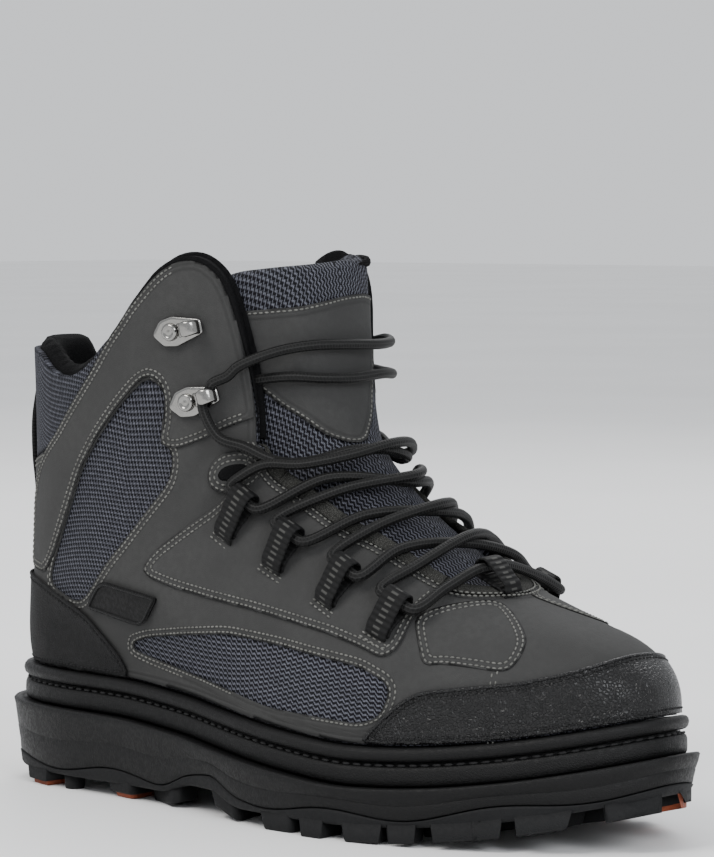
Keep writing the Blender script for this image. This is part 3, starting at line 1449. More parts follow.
def stitch_tree(material):
    """Geometry nodes that lay stitches along lines."""
    tree = bpy.data.node_groups.new("Stitches " + material.name, "GeometryNodeTree")
    tree.interface.new_socket("Geometry", in_out="INPUT", socket_type="NodeSocketGeometry")
    for title in ("Pitch", "Stitch", "Thread", "Turn"):
        tree.interface.new_socket(title, in_out="INPUT", socket_type="NodeSocketFloat")
    tree.interface.new_socket("Geometry", in_out="OUTPUT", socket_type="NodeSocketGeometry")
    values = tree.nodes.new("NodeGroupInput").outputs
    line = add(tree, "GeometryNodeMeshToCurve", {"Mesh": values["Geometry"]})
    spaced = add(
        tree,
        "GeometryNodeResampleCurve",
        {"Curve": line.outputs["Curve"], "Length": values["Pitch"]},
        mode="LENGTH",
    )
    bead = add(tree, "GeometryNodeMeshUVSphere", {"Segments": 6, "Rings": 4, "Radius": 0.5})
    size = add(
        tree,
        "ShaderNodeCombineXYZ",
        {"X": values["Stitch"], "Y": values["Thread"], "Z": values["Thread"]},
    )
    tangent = add(tree, "GeometryNodeInputTangent")
    out = add(tree, "GeometryNodeInputNamedAttribute", {"Name": "out"}, data_type="FLOAT_VECTOR")
    turned = add(tree, "FunctionNodeAlignRotationToVector", {"Vector": tangent.outputs[0]}, axis="X")
    faced = add(
        tree,
        "FunctionNodeAlignRotationToVector",
        {"Rotation": turned.outputs[0], "Vector": out.outputs[0]},
        axis="Z",
        pivot_axis="X",
    )
    low = maths(tree, "MULTIPLY", values["Turn"], -1.0)
    random = add(tree, "FunctionNodeRandomValue", {2: low, 3: values["Turn"], "Seed": 7}, data_type="FLOAT")
    slant = add(tree, "ShaderNodeCombineXYZ", {"Z": random.outputs[1]})
    both = add(
        tree,
        "FunctionNodeRotateRotation",
        {"Rotation": faced.outputs[0], "Rotate By": slant.outputs[0]},
        rotation_space="LOCAL",
    )
    laid = add(
        tree,
        "GeometryNodeInstanceOnPoints",
        {
            "Points": spaced.outputs["Curve"],
            "Instance": bead.outputs["Mesh"],
            "Rotation": both.outputs[0],
            "Scale": size.outputs[0],
        },
    )
    real = add(tree, "GeometryNodeRealizeInstances", {"Geometry": laid.outputs["Instances"]})
    painted = add(tree, "GeometryNodeSetMaterial", {"Geometry": real.outputs[0], "Material": material})
    end = tree.nodes.new("NodeGroupOutput")
    tree.links.new(painted.outputs[0], end.inputs[0])
    return tree


def stitch(name, lines, material, slot, pitch=None, long=None, thread=None):
    """A piece of stitches along lines, each a list of points and of outward directions."""
    spec = bpy.context.scene.stitch_sizes
    points = np.concatenate([line for line, _ in lines]) + TO_FRAME
    outs = np.concatenate([out for _, out in lines])
    edges, start = [], 0
    for line, _ in lines:
        edges += [(start + i, start + i + 1) for i in range(len(line) - 1)]
        start += len(line)
    data = bpy.data.meshes.new(name + "_rows")
    data.from_pydata(points.tolist(), edges, [])
    attribute = data.attributes.new("out", "FLOAT_VECTOR", "POINT")
    attribute.data.foreach_set("vector", outs.astype(np.float32).ravel())
    rows = bpy.data.objects.new(name + "_rows", data)
    bpy.context.scene.collection.objects.link(rows)
    modifier = rows.modifiers.new("Stitches", "NODES")
    tree = stitch_tree(material)
    values = {
        "Pitch": pitch or spec.pitch,
        "Stitch": long or spec.long,
        "Thread": thread or spec.thread,
        "Turn": STITCH_TURN,
    }
    modifier.node_group = tree
    for item in tree.interface.items_tree:
        if item.in_out == "INPUT" and item.name in values:
            modifier[item.identifier] = values[item.name]
    graph = bpy.context.evaluated_depsgraph_get()
    made = bpy.data.meshes.new_from_object(rows.evaluated_get(graph))
    bpy.data.objects.remove(rows)
    made.name = name
    made.shade_smooth()
    if not len(made.polygons):
        raise RuntimeError(name + " has no stitches")
    piece = bpy.data.objects.new(name, made)
    bpy.context.scene.collection.objects.link(piece)
    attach(piece, BODY)
    return piece


# Sole: outlines of the lugs are drawn flat, then bent with the tread

TREAD_INSET = LIP_TAPER + 0.4 * MM
BIG = (26, 18)
PAD = (22, 14.4)
CONTRAST_LUGS = [
    (0.95, 0.36, -125), (0.885, 0.66, -112), (0.795, 0.76, -97), (0.672, 0.78, -88),
    (0.552, 0.59, -77), (0.425, 0.43, -84), (0.262, -0.42, 84), (0.11, -0.42, 70),
]
RUBBER_LUGS = [
    (0.953, -0.06, 125), (0.885, -0.42, 118), (0.8, -0.62, 108), (0.69, -0.72, 98),
    (0.565, -0.7, 92), (0.47, -0.6, 84), (0.19, 0.42, -88), (0.075, 0.36, -62),
]
# Place along, place across, length, width and turn
ARROW_LUGS = [
    (0.895, 0.16, 27, 17, -140), (0.815, 0.27, 27, 17, 158), (0.735, 0.28, 27, 17, 130),
    (0.655, 0.24, 29, 16, 112), (0.565, 0.1, 29, 16, 104), (0.845, -0.16, 27, 16, 40),
    (0.755, -0.2, 27, 16, 30), (0.65, -0.2, 27, 16, 24), (0.555, -0.26, 27, 16, 30),
    (0.47, -0.2, 20, 10, 70), (0.14, -0.02, 24, 15, 160), (0.245, 0.06, 24, 15, 20),
]
CORNER_LUGS = [
    (0.845, 0.88, 14, 11, -110), (0.735, 0.9, 15, 12, -95), (0.61, 0.8, 15, 12, -82),
    (0.49, 0.6, 15, 12, -78), (0.84, -0.7, 14, 11, 112), (0.745, -0.82, 15, 12, 100),
    (0.625, -0.86, 15, 12, 90), (0.35, -0.58, 27, 12, 178), (0.335, 0.52, 22, 9, 184),
]
STUDS = [
    (0.893, 0.27), (0.845, 0.56), (0.73, 0.64), (0.617, 0.54), (0.514, 0.33), (0.855, -0.36),
    (0.737, -0.46), (0.626, -0.47), (0.516, -0.44), (0.16, -0.5), (0.045, 0),
]
WEDGE = [(0, -0.42), (0.1, -0.5), (0.86, -0.2), (1, -0.06), (1, 0.14), (0.88, 0.22), (0.2, 0.5), (0.04, 0.4)]
ARROW = [(0, -0.1), (0.34, -0.5), (1, 0), (0.3, 0.5), (0.08, 0.34)]
CORNER = [(0, -0.5), (1, -0.42), (0.16, 0.5), (0, 0.4)]
STUD_DIAMETER = 9
# The cross on a stud: length and width of its bars, where they start and end above the lugs' foot
CROSS = (4.2, 1.1)
CROSS_UP = (0.3 * MM, 2.0 * MM)
# Place along, place across, length, width and turn
SHANK = (0.395, 0.02, 52, 30, 0)
SHANK_FLAT = 0.3
SHANK_DROP = 1.0 * MM
# A frame round a contrast lug ends this far above the foot of the other lugs, in millimetres
FRAME_FOOT = 1.9
PAD_INSET = TREAD_INSET + 1.8 * MM
# How far a lug reaches into the tread, its corners' softness and the depth of its sunk middle, in mm
LUG_ROOT = 1.5
LUG_CORNER = 1.6
LUG_SUNK = 0.7
# Layers of the sole from the floor up: what is added to the inset, share between two lines, rise
SLAB_ROWS = [
    (26, 0, 0.8), (24, 0, 0), (2, 0, 0), (0.6, 0, 0.5), (0, 0, 1.4), (-0.4, 0.8, 0), (-0.6, 1, 0),
]
WALL_ROWS = [
    (3, 0, 0.3), (2.6, 0, 0.8), (2.34, 0.2, 0), (1.56, 0.46, 0), (1.768, 0.48, 0), (1.508, 0.5, 0),
    (0.52, 1, -3.2), (0, 1, -0.9), (0.6, 1, -0.2), (1.5, 1, 0), (3.2, 1, 0), (3.5, 1, -0.5),
    (4.8, 1, -0.5), (6.5, 1, -0.5),
]
STRIP_ROWS = [
    (0.7, 0, 0.1), (0.1, 0, 0.9), (0, 0.4, 0), (0.1, 1, -1.8), (0.5, 1, -0.6), (1.2, 1, -0.1),
    (2.2, 1, 0), (2.6, 1, 0.3), (2.6, 1, 1.4),
]
WELT_ROWS = [
    (2.6, 0, 0), (1.2, 0.06, 0), (0.4, 0.2, 0), (0, 0.48, 0), (0.3, 0.72, 0), (1.1, 0.9, 0),
    (2.4, 0.99, 0), (3.6, 1, -0.2), (4.8, 1, -0.5), (8, 1, -0.5),
]
BED_ROWS = [(0, 0, 0.3), (0, 0, 2.7), (0.5, 0, 3.9), (1.4, 0, 4.3), (8, 0, 4.1)]
BED_INSET = UPPER_INSET + 6.8 * MM
# Stitches in the welt's groove: inset and height of their row, pitch, length and thread
GROOVE_ROW = (GROOVE_INSET - 1.3 * MM, 0.35 * MM)
GROOVE_STITCH = (4.6 * MM, 3.7 * MM, 1.1 * MM)


def lug(outline, at, out, long, wide, turn, sunk, foot=0.0, inset=TREAD_INSET):
    """A lug with a draft and a soft lower edge, and with a sunk middle where asked."""
    shape = np.array(outline) * (long, wide)
    middle = shape.mean(0)
    shape = rounded(shape, LUG_CORNER)
    c, s = math.cos(math.radians(turn)), math.sin(math.radians(turn))
    steps = [(1.0, LUG_DEPTH / MM + LUG_ROOT), (0.89, foot + 0.9), (0.87, foot + 0.3), (0.83, foot)]
    deep = foot + LUG_SUNK
    steps += [(0.6, foot), (0.56, deep), (0.02, deep)] if sunk else [(0.02, foot)]
    rings = []
    for share, up in steps:
        flat = (shape - middle) * share
        x = at * SOLE_LENGTH + (flat @ (c, -s)) * MM
        y = out * HALF_BALL + (flat @ (s, c)) * MM
        x = np.clip(x, inset + 0.5 * MM, SOLE_LENGTH - inset - 0.5 * MM)
        low = centre_line(x) - half_width("lateral", x, inset)
        high = centre_line(x) + half_width("medial", x, inset)
        rings.append(np.stack([x, np.clip(y, low, high), tread_base(x) - LUG_DEPTH + up * MM], 1))
    return capped(rings)


def bar(at, out, long, wide, turn, low, high):
    """A small raised bar under the sole."""
    shape = [(0, -0.5), (1, -0.5), (1, 0.5), (0, 0.5)]
    made = lug(shape, at, out, long, wide, turn, False)
    base = tread_base(made["points"][:, 0]) - LUG_DEPTH
    lift = (made["points"][:, 2] - base) / (LUG_DEPTH + LUG_ROOT * MM)
    made["points"][:, 2] = base + mix(low, high, lift)
    return made


def build_sole():
    """Tread, lugs, wall, strip, welt and insole."""
    slab = layer(TREAD_INSET, tread_base, tread_top, SLAB_ROWS)
    lugs = [lug(WEDGE, at, out, *BIG, turn, True) for at, out, turn in RUBBER_LUGS]
    lugs += [lug(ARROW, *row, True) for row in ARROW_LUGS]
    lugs += [lug(CORNER, *row, False) for row in CORNER_LUGS]
    for at, out in STUDS:
        lugs.append(lug(circle(10), at, out, STUD_DIAMETER, STUD_DIAMETER, 0, True))
        lugs += [bar(at, out, *CROSS, turn, *CROSS_UP) for turn in (45, 135)]
    lugs += [lug(WEDGE, at, out, *BIG, turn, True, FRAME_FOOT) for at, out, turn in CONTRAST_LUGS]
    place("outsole", joined([slab] + lugs), finish("tread_rubber"), ["outsole_tread"], "tread")
    bright = [lug(WEDGE, at, out, *PAD, turn, False, 0.0, PAD_INSET) for at, out, turn in CONTRAST_LUGS]
    names = ["contrast_lug_%d" % (i + 1) for i in range(len(CONTRAST_LUGS))]
    place("contrast_lugs", joined(bright), finish("contrast_rubber"), names, "contrast")
    disc = lug(circle(28), *SHANK, False)
    base = tread_base(disc["points"][:, 0])
    disc["points"][:, 2] = base + (disc["points"][:, 2] - base + LUG_DEPTH) * SHANK_FLAT - SHANK_DROP
    place("shank_oval", disc, finish("shank_rubber"), slot="tread")
    wall = layer(0, tread_top, lip, WALL_ROWS)
    place("wall", wall, finish("wall_rubber"), ["sole_wall"], "rubber")
    strip = layer(STRIP_INSET, lip, strip_top, STRIP_ROWS)
    place("strip", strip, finish("wall_rubber"), ["midsole_strip"], "rubber")
    welt = layer(BEAD_INSET, groove_top, bead_top, WELT_ROWS)
    place("welt_bead", welt, finish("wall_rubber"), ["welt"], "rubber")
    bed = layer(BED_INSET, bead_top, bead_top, BED_ROWS)
    place("footbed", bed, finish("padding"), ["insole"], "lining")
    build_groove_stitches()


def build_groove_stitches():
    """A row of long stitches round the groove under the bead."""
    inset, rise = GROOVE_ROW
    loops = []
    for further in (0, 1.7 * MM):
        loops.append(ring(inset - further, lambda x: strip_top(x) + rise, 2 * RING_POINTS))
    line, away = loops
    outward = unit(away - line)
    line, outward = np.concatenate([line, line[:1]]), np.concatenate([outward, outward[:1]])
    stitch("welt_stitches", [(line, outward)], finish("dark_thread"), "rubber", *GROOVE_STITCH)


# Upper

UPPER_WALL = 2 * MM
# Nubuck panels: lift in panel thicknesses, foot above the skin and the nodes that each stands for
NUBUCK_PANELS = {
    "quarter": (1, -0.3 * MM, ()),
    "patch": (1.45, 0.4 * MM, ()),
    "eyestay": (2, 0.3 * MM, ("eyestay_lateral", "eyestay_medial")),
    "flap": (2, 0.3 * MM, ("ankle_flap_lateral", "ankle_flap_medial")),
}
# Seams stay this far inside the collar's edge, but come closer to it behind this share of the length
# and above this share of the height
SEAM_BARE = 6.5 * MM
SEAM_BEHIND = 0.375
SEAM_ABOVE = 0.4
# The slotted tab: lift in panel thicknesses, its border round the slot and its two rows
SLOT_LIFT = 2.3
SLOT_BORDER = 5 * MM
SLOT_ROWS = (1.3 * MM, 3.3 * MM)
# The seam from the vamp's patch to the rand: its place along, its place out and its slant
VAMP_SEAM_AT = 266 * MM
VAMP_SEAM_OUT = 31 * MM
VAMP_SEAM_SLANT = 0.3


def build_upper():
    """Fabric of the upper, one closed shell with its inner wall."""
    skin = upper_skin()
    outer = cut({**skin, "edge": region("upper")}, region("upper"))
    count = len(outer["points"])
    edges = border(outer["faces"])
    walls = [np.stack([edges[:, 1], edges[:, 0], edges[:, 0] + count], 1)]
    walls.append(np.stack([edges[:, 1], edges[:, 0] + count, edges[:, 1] + count], 1))
    shell = {
        "points": np.concatenate([outer["points"], outer["points"] - outer["normals"] * UPPER_WALL]),
        "uv": np.concatenate([outer["uv"], outer["uv"]]),
        "faces": np.concatenate([outer["faces"], outer["faces"][:, ::-1] + count] + walls),
    }
    place("upper_fabric", shell, finish("zigzag_mesh"), ["upper"], "mesh")
    heel = side_distance(skin["points"], plain_outline(HEEL_WINDOW, 5))
    field = np.minimum(heel, region("upper"))
    fine = panel(skin, field, 0.35 * MM, -0.2 * MM, 0.2 * MM)
    place("heel_fabric", fine, finish("fine_mesh"), slot="mesh")


def panel_rows():
    """The seams beside the panels' edges, left out where another piece covers them."""
    skin = upper_skin()
    thick = sizes().nubuck
    spec = bpy.context.scene.stitch_sizes
    edges = [region(name) for name in ("eyestay", "flap", "rand", "counter")]
    covered = -np.maximum.reduce(edges)
    bare = region("upper") - SEAM_BARE
    behind = np.minimum(region("upper") - 0.5 * MM, SEAM_BEHIND * SOLE_LENGTH - skin["points"][:, 0])
    behind = np.minimum(behind, skin["points"][:, 2] - SEAM_ABOVE * sizes().boot_height)
    shown = {
        "eyestay": np.maximum(bare, behind),
        "flap": np.maximum(bare, behind),
        "quarter": np.minimum(covered, bare),
        "patch": np.minimum(covered, region("upper") - 3 * MM),
    }
    lines = []
    for level in (spec.first_row, spec.second_row):
        for name, where in shown.items():
            lines += rows_beside(name, level, NUBUCK_PANELS[name][0] * thick, where)
    return lines


def build_slot_tabs():
    """The sewn tab with a slot between flap and eyestay, and the rows round the slot."""
    skin = upper_skin()
    slot = plain_outline(LACE_SLOT, 2.5)
    near = finer(cut(skin, side_distance(skin["points"], slot) + SLOT_BORDER + 3 * MM), 1)
    distance = true_distance(near, side_distance(near["points"], slot))
    lift = SLOT_LIFT * sizes().nubuck
    made = panel(near, distance + SLOT_BORDER, lift, 0.4 * MM, sizes().edge_round)
    place("slot_tabs", made, finish("worn_nubuck"), slot="nubuck")
    made = panel(near, distance, lift + 0.15 * MM, 1.2 * MM, 0.3 * MM)
    place("slot_mouths", made, finish("binding_tape"), slot="lining")
    lines = []
    for level in SLOT_ROWS:
        lines += [(line + out * lift, out) for line, out in trace(near, distance + level)]
    return lines


def vamp_rows():
    """The two rows from the vamp's patch to the rand on the outer side."""
    skin = upper_skin()
    spec = bpy.context.scene.stitch_sizes
    x, out = skin["points"][:, 0], -skin["points"][:, 1] - VAMP_SEAM_OUT
    shown = np.minimum(-region("rand") - 0.5 * MM, np.minimum(spec.second_row - region("patch"), out))
    lines = []
    for shift in (0, spec.second_row - spec.first_row):
        strip = cut({**skin, "level": x - VAMP_SEAM_AT - VAMP_SEAM_SLANT * out + shift}, shown)
        lines += [(line + up * sizes().nubuck, up) for line, up in trace(strip, strip["level"])]
    return lines


def build_panels():
    """Nubuck quarter, vamp patches, eyestays, ankle flaps and slotted tabs, and their seams."""
    for name, (lift, foot, nodes) in NUBUCK_PANELS.items():
        made = panel(upper_skin(), region(name), lift * sizes().nubuck, foot, sizes().edge_round)
        place(name + "_panels", made, finish("worn_nubuck"), nodes, "nubuck")
    lines = panel_rows() + build_slot_tabs() + vamp_rows()
    stitch("panel_stitches", lines, finish("seam_thread"), "nubuck")


RAND_CORNER = 0.7 * MM
RIM_INSET = 0.9 * MM
RIM_RADIUS = 0.55 * MM
RAND_ROW = 2.6 * MM
BADGE_LIFT = 2.3 * MM
BADGE_BORDER = 1.6 * MM


def build_rand():
    """Toe rand and heel counter with their raised rims."""
    skin = upper_skin()
    lift = sizes().rand + 0.2 * MM
    below = region("upper") - 2 * MM
    seams = []
    for name, node, hide in (("rand", "toe_rand", "rand_hide"), ("counter", "heel_counter", "counter_hide")):
        made = panel(skin, region(name), lift, 0.3 * MM, RAND_CORNER)
        place(node + "_cover", made, finish(hide), [node], "grained")
        rims = []
        for points, normals in rows_beside(name, RIM_INSET, lift, below):
            rims.append(sweep(points, normals, round_profile(RIM_RADIUS, 8) * (1.2, 1)))
        place(node + "_rim", joined(rims), finish(hide), slot="grained")
        seams += rows_beside(name, RAND_ROW, lift, below)
    stitch("rand_stitches", seams, finish("dark_thread"), "grained")


def build_badge():
    """The plain badge on the outer side, with a raised border."""
    near = finer(cut(upper_skin(), region("badge") + 4 * MM), 2)
    distance = true_distance(near, side_distance(near["points"], side_outline(BADGE_SHARES, 5 * MM)))
    made = panel(near, distance, BADGE_LIFT, 0.5 * MM, 0.5 * MM)
    place("badge_plate", made, finish("badge_rubber"), ["badge_lateral"], "rubber")
    rims = []
    for points, normals in trace(near, distance - BADGE_BORDER):
        rims.append(sweep(points + normals * BADGE_LIFT, normals, round_profile(RIM_RADIUS, 8)))
    place("badge_border", joined(rims), finish("wall_rubber"), slot="rubber")


# Collar, bindings and tongue

LINING_FRONT = 0.35
BINDING_FRONT = LINING_FRONT + 0.003
BINDING_SHARES = [(BINDING_FRONT, 0.72), (0.425, 0.665), (0.6, 0.665), (0.6, 1.4), (BINDING_FRONT, 1.4)]
LINING_SHARES = [(-0.5, 0.66), (0.3, 0.66), (LINING_FRONT, 0.71), (LINING_FRONT, 1.4), (-0.5, 1.4)]
# The collar's pad rises over the edge behind, less from these shares of the length on
PAD_RISE = (4.2 * MM, 1.2 * MM)
PAD_FADE = (0.2, 0.3)
PAD_BACK = 1.9 * MM
PAD_EDGE = 6.5 * MM
BINDING_RISE = 2.6 * MM
BINDING_BACK = 3.3 * MM
BINDING_THICK = 2.2 * MM
# Where the black tape over the flap's edge ends: a share of the length and one of the height
TAPE_FROM = (0.27, 0.66)
# Profiles of the tapes over an edge, across and out in millimetres
FLAP_TAPE = [
    (-0.4, -2.1), (1.2, -1.9), (1.2, 0), (1.2, 1.7), (0.8, 2.0), (-0.4, 1.95), (-0.8, 1.4), (-0.8, 0),
]
THROAT_TAPE = [(4.8, 0.2), (4.8, 1.7), (4.4, 2.05), (-0.2, 2.0), (-0.5, 1.6), (-0.5, 0.2)]
THROAT_ROWS = (1.2 * MM, 3.2 * MM)
TONGUE_BACK = 2.6 * MM
# The tongue's sides lie deeper, beyond these places across
TONGUE_TUCK = 2.8 * MM
TUCK_FADE = (20 * MM, 30 * MM)
# The tongue's top is lowered and leans to the outer side
TOP_FADE = (0.8, 0.95)
TOP_DROP = 3.4 * MM
TOP_LEAN = 0.075
# Where the tongue ends in front, a share of the sole's length
TONGUE_TIP = 0.815
TONGUE_EDGE = 5 * MM
PATCH_LIFT = 0.8 * MM
PATCH_ROW = 1.6 * MM
PIPING_RADIUS = 1.7 * MM
PIPING_INSET = 2.2 * MM


def build_collar():
    """Padded collar inside the shaft."""
    skin = upper_skin()
    rise = mix(*PAD_RISE, smooth(*PAD_FADE, skin["points"][:, 0] / SOLE_LENGTH))
    field = side_distance(skin["points"], side_outline(LINING_SHARES, 8 * MM))
    distance = true_distance(skin, np.minimum(field, opening_field(rise)))
    thick = sizes().lining
    made = pillow(skin, distance, PAD_BACK + thick / 2, thick, PAD_EDGE)
    piece = place("collar_padding", made, finish("padding"), ["collar_lining"], "lining")


def tapered(line, reach):
    """How thick a strip is at each point of its line: thin at both ends."""
    run = run_along(line)
    share = smooth(-0.15 * reach, reach, np.minimum(run, run[-1] - run))
    return np.maximum(share, 0.08)[:, None, None]


def build_bindings():
    """Soft strips behind the front edges of the flaps, and the tape over the flaps' edges."""
    skin = upper_skin()
    points = skin["points"]
    field = side_distance(points, side_outline(BINDING_SHARES))
    distance = true_distance(skin, np.minimum(field, opening_field(BINDING_RISE)))
    made = pillow(skin, distance, BINDING_BACK, BINDING_THICK, BINDING_THICK / 2)
    nodes = ["flap_binding_lateral", "flap_binding_medial"]
    place("flap_linings", made, finish("binding_tape"), nodes, "lining")
    edge_x, edge_z = TAPE_FROM[0] * SOLE_LENGTH, TAPE_FROM[1] * sizes().boot_height
    front = np.minimum(points[:, 0] - edge_x, points[:, 2] - edge_z)
    tapes = []
    for line, normals in rows_beside("upper", 0.0, 0.0, front):
        tapes.append(sweep(line, normals, np.array(FLAP_TAPE) * MM * tapered(line, 60 * MM)))
    low = np.minimum(edge_z - points[:, 2], points[:, 2] - feather(points[:, 0]) - 12 * MM)
    low = np.minimum(low, region("upper") + 6 * MM)
    throats = []
    for line, normals in rows_beside("upper", 0.0, 0.0, low):
        throats.append(sweep(line, normals, np.array(THROAT_TAPE) * MM * tapered(line, 14 * MM)))
    place("flap_tape", joined(tapes), finish("binding_tape"), slot="lining")
    place("throat_tape", joined(throats), finish("edge_tape"), slot="nubuck")
    rows = []
    for level in THROAT_ROWS:
        rows += rows_beside("upper", level, 2.05 * MM, low)
    stitch("throat_stitches", rows, finish("seam_thread"), "nubuck")


def build_tongue():
    """Padded tongue with its nubuck patch, seams and piping."""
    skin = upper_skin()
    points = skin["points"]
    beside = points[:, 1] - centre_line(points[:, 0])
    tuck = TONGUE_TUCK * smooth(*TUCK_FADE, np.abs(beside))
    outer = {**skin, "points": points - skin["normals"] * (TONGUE_BACK + tuck)[:, None]}
    side = side_view(points)
    high = smooth(*TOP_FADE, side[:, 1] / sizes().boot_height)
    side[:, 1] += high * (TOP_DROP - TOP_LEAN * beside)
    field = distance_to_outline(side, side_outline(TONGUE_SHARES))
    distance = true_distance(outer, np.minimum(field, TONGUE_TIP * SOLE_LENGTH - points[:, 0]))
    thick = sizes().tongue
    made = pillow(outer, distance, thick / 2, thick, TONGUE_EDGE)
    piece = place("tongue_padding", made, finish("zigzag_mesh"), ["tongue"], "nubuck")
    build_tongue_patch(outer, distance)
    medial = np.minimum(points[:, 2] - 0.62 * sizes().boot_height, beside - 12 * MM)
    rim = cut({**outer, "level": distance - PIPING_INSET}, medial)
    pipes = []
    for line, out in trace(rim, rim["level"]):
        profile = round_profile(PIPING_RADIUS, 10) * (1.3, 1)
        pipes.append(sweep(line, out, profile * tapered(line, 12 * MM)))
    place("tongue_piping", joined(pipes), finish("binding_tape"), slot="lining")


def build_tongue_patch(outer, distance):
    """The nubuck patch on the tongue's front, and its seam."""
    x = upper_skin()["points"][:, 0]
    front = np.stack([outer["points"][:, 1] - centre_line(x), outer["points"][:, 2]], 1)
    patch = distance_to_outline(front, plain_outline(TONGUE_PATCH, 5))
    patch = np.minimum(patch, np.minimum(distance - 1 * MM, x - 0.3 * SOLE_LENGTH))
    patch_distance = true_distance(outer, patch)
    made = panel(outer, patch_distance, PATCH_LIFT, -0.3 * MM, 0.4 * MM)
    place("tongue_patch", made, finish("worn_nubuck"), slot="nubuck")
    lines = [(line + out * PATCH_LIFT, out) for line, out in trace(outer, patch_distance - PATCH_ROW)]
    stitch("tongue_stitches", lines, finish("seam_thread"), "nubuck")


# Webbing

# A loop lies this high over the skin, in millimetres, and its foot is pressed in
SEAT_LIFT = 2.7
FOOT_PRESS = 2.2
# Step and sweep of each loop's foot and head on the outer side
LOOPS = {
    "1": ((8.6, 25), (9.35, 35.5)),
    "2": ((6.45, 26.5), (6.75, 37)),
    "3": ((4.37, 28), (4.3, 39.7)),
    "4": ((2.85, 27), (2.75, 40)),
}
CENTRE_LOOP = ((1.5, 86), (2.0, 86))
# Stations of a loop: shares of its way up, angles round the lace, and its way back over itself
WAY_UP = (-0.12, 0.25, 0.5, 0.75, 1)
ARC = (-60, -40, -20, 0, 20, 40, 60, 80, 100)
WAY_BACK = ((0.7, 0), (0.4, 0), (0.12, 0), (-0.1, 2.6 * MM))
# Rows sewn below a loop: how far below its foot, and how far they reach to each side
LOOP_ROWS = (-1.9 * MM, -3.7 * MM)
LOOP_ROW_HALF = 5 * MM
# The facing of a line goes through smooth_line with it, as if it were this long
FACING = 2 * MM
# Step up the heel and lift over the skin of the pull, in millimetres, its size and its seat
PULL_ROWS = [(13.5, 0), (13.8, 1.9), (14.1, 3.2), (14.7, 3.4), (15.0, 2.1), (15.3, 0)]
PULL_WIDTH = 24.8 * MM
PULL_THICK = 2.1 * MM
PULL_SEAT = 1.55
# Step and sweep of each hook on the outer side
HOOKS = {"upper": (15.4, 18.5), "lower": (13.95, 23)}


def loop_frame(foot, head, flip):
    """Directions of a loop and the middle of its eye."""
    spec = bpy.context.scene.lace_sizes
    radius = spec.lace / 2
    eye_radius = radius + 1 * MM + spec.webbing_thickness / 2

    low, _ = spot(*foot, SEAT_LIFT, flip)
    high, normal = spot(*head, SEAT_LIFT, flip)
    along = unit(high - low)
    across = unit(np.cross(normal, along))
    out = unit(np.cross(along, across))
    eye = high + along * radius + out * eye_radius
    ways = {"along": along, "across": across, "out": out}
    return {"low": low, "high": high, "eye": eye, "radius": eye_radius, **ways}


def faced_line(stations, spacing):
    """A soft line through stations of a point and its facing, read back as points and facings."""
    line = smooth_line(np.array(stations) * ([1] * 3 + [FACING] * 3), spacing)
    return line[:, :3], line[:, 3:]


def webbing_loop(foot, head, flip):
    """A strip that runs up the eyestay, round the lace and back over itself."""
    spec = bpy.context.scene.lace_sizes
    frame_of = loop_frame(foot, head, flip)
    low, high, along, out = (frame_of[key] for key in ("low", "high", "along", "out"))
    stations = []
    for t in WAY_UP:
        lift = SEAT_LIFT - (FOOT_PRESS if t < 0 else 0)
        point, normal = spot(mix(foot[0], head[0], t), mix(foot[1], head[1], t), lift, flip)
        stations.append((*point, *normal))
    for angle in ARC:
        c, s = math.cos(math.radians(angle)), math.sin(math.radians(angle))
        away = along * c + out * s
        stations.append((*(frame_of["eye"] + away * frame_of["radius"]), *-away))
    back = spec.webbing_thickness + GAP
    for t, drop in WAY_BACK:
        lift = mix(back + 0.9 * MM, 2 * frame_of["radius"] + 0.2 * MM, max(t, 0) ** 1.3) - drop
        stations.append((*(low + (high - low) * t + out * lift), *-out))
    profile = flat_profile(spec.webbing_width, spec.webbing_thickness)
    return sweep(*faced_line(stations, 0.5 * MM), profile)


def loop_rows(frame_of):
    """The short rows that sew a loop down below its foot."""
    sunk = frame_of["out"] * (SEAT_LIFT * MM - 2 * sizes().nubuck)
    rows = []
    for run in LOOP_ROWS:
        middle = frame_of["low"] + frame_of["along"] * run - sunk
        ends = [middle + frame_of["across"] * reach for reach in (-LOOP_ROW_HALF, LOOP_ROW_HALF)]
        line = smooth_line(ends, 1 * MM)
        rows.append((line, np.repeat(frame_of["out"][None], len(line), 0)))
    return rows


def build_loops():
    """Nine webbing loops, each in place of its own node, and their short sewn rows."""
    rows = []
    for side in ("lateral", "medial"):
        flip = side == "medial"
        for name, ends in LOOPS.items():
            node = "lace_loop_%s_%s" % (side, name)
            made = webbing_loop(*ends, flip)
            place(node.replace("lace", "webbing"), made, finish("loop_webbing"), [node], "webbing")
            rows += loop_rows(loop_frame(*ends, flip))
    made = webbing_loop(*CENTRE_LOOP, False)
    place("webbing_loop_centre", made, finish("loop_webbing"), ["lace_loop_centre"], "webbing")
    stitch("loop_stitches", rows, finish("seam_thread"), slot="nubuck")


def build_pull():
    """Heel pull of ribbed webbing up the back."""
    stations = []
    for step, lift in PULL_ROWS:
        low, high = section_point(step - 0.05, -90.0), section_point(step + 0.05, -90.0)
        up = unit(high - low)
        out = np.array([-up[2], 0, up[0]])
        stations.append((*((low + high) / 2 + out * (PULL_SEAT + lift) * MM), *out))
    made = sweep(*faced_line(stations, 0.7 * MM), flat_profile(PULL_WIDTH, PULL_THICK))
    place("webbing_pull", made, finish("pull_webbing"), ["heel_pull"], "webbing")


# Hooks

# Inner radius, thickness, width and angles of a hook's curl, and the share of the plate where it stands
CURL_INNER = 2.55 * MM
CURL_THICK = 1.3 * MM
CURL_WIDTH = 6.2 * MM
CURL_TURNS = (-85, 140)
CURL_AT = 0.3
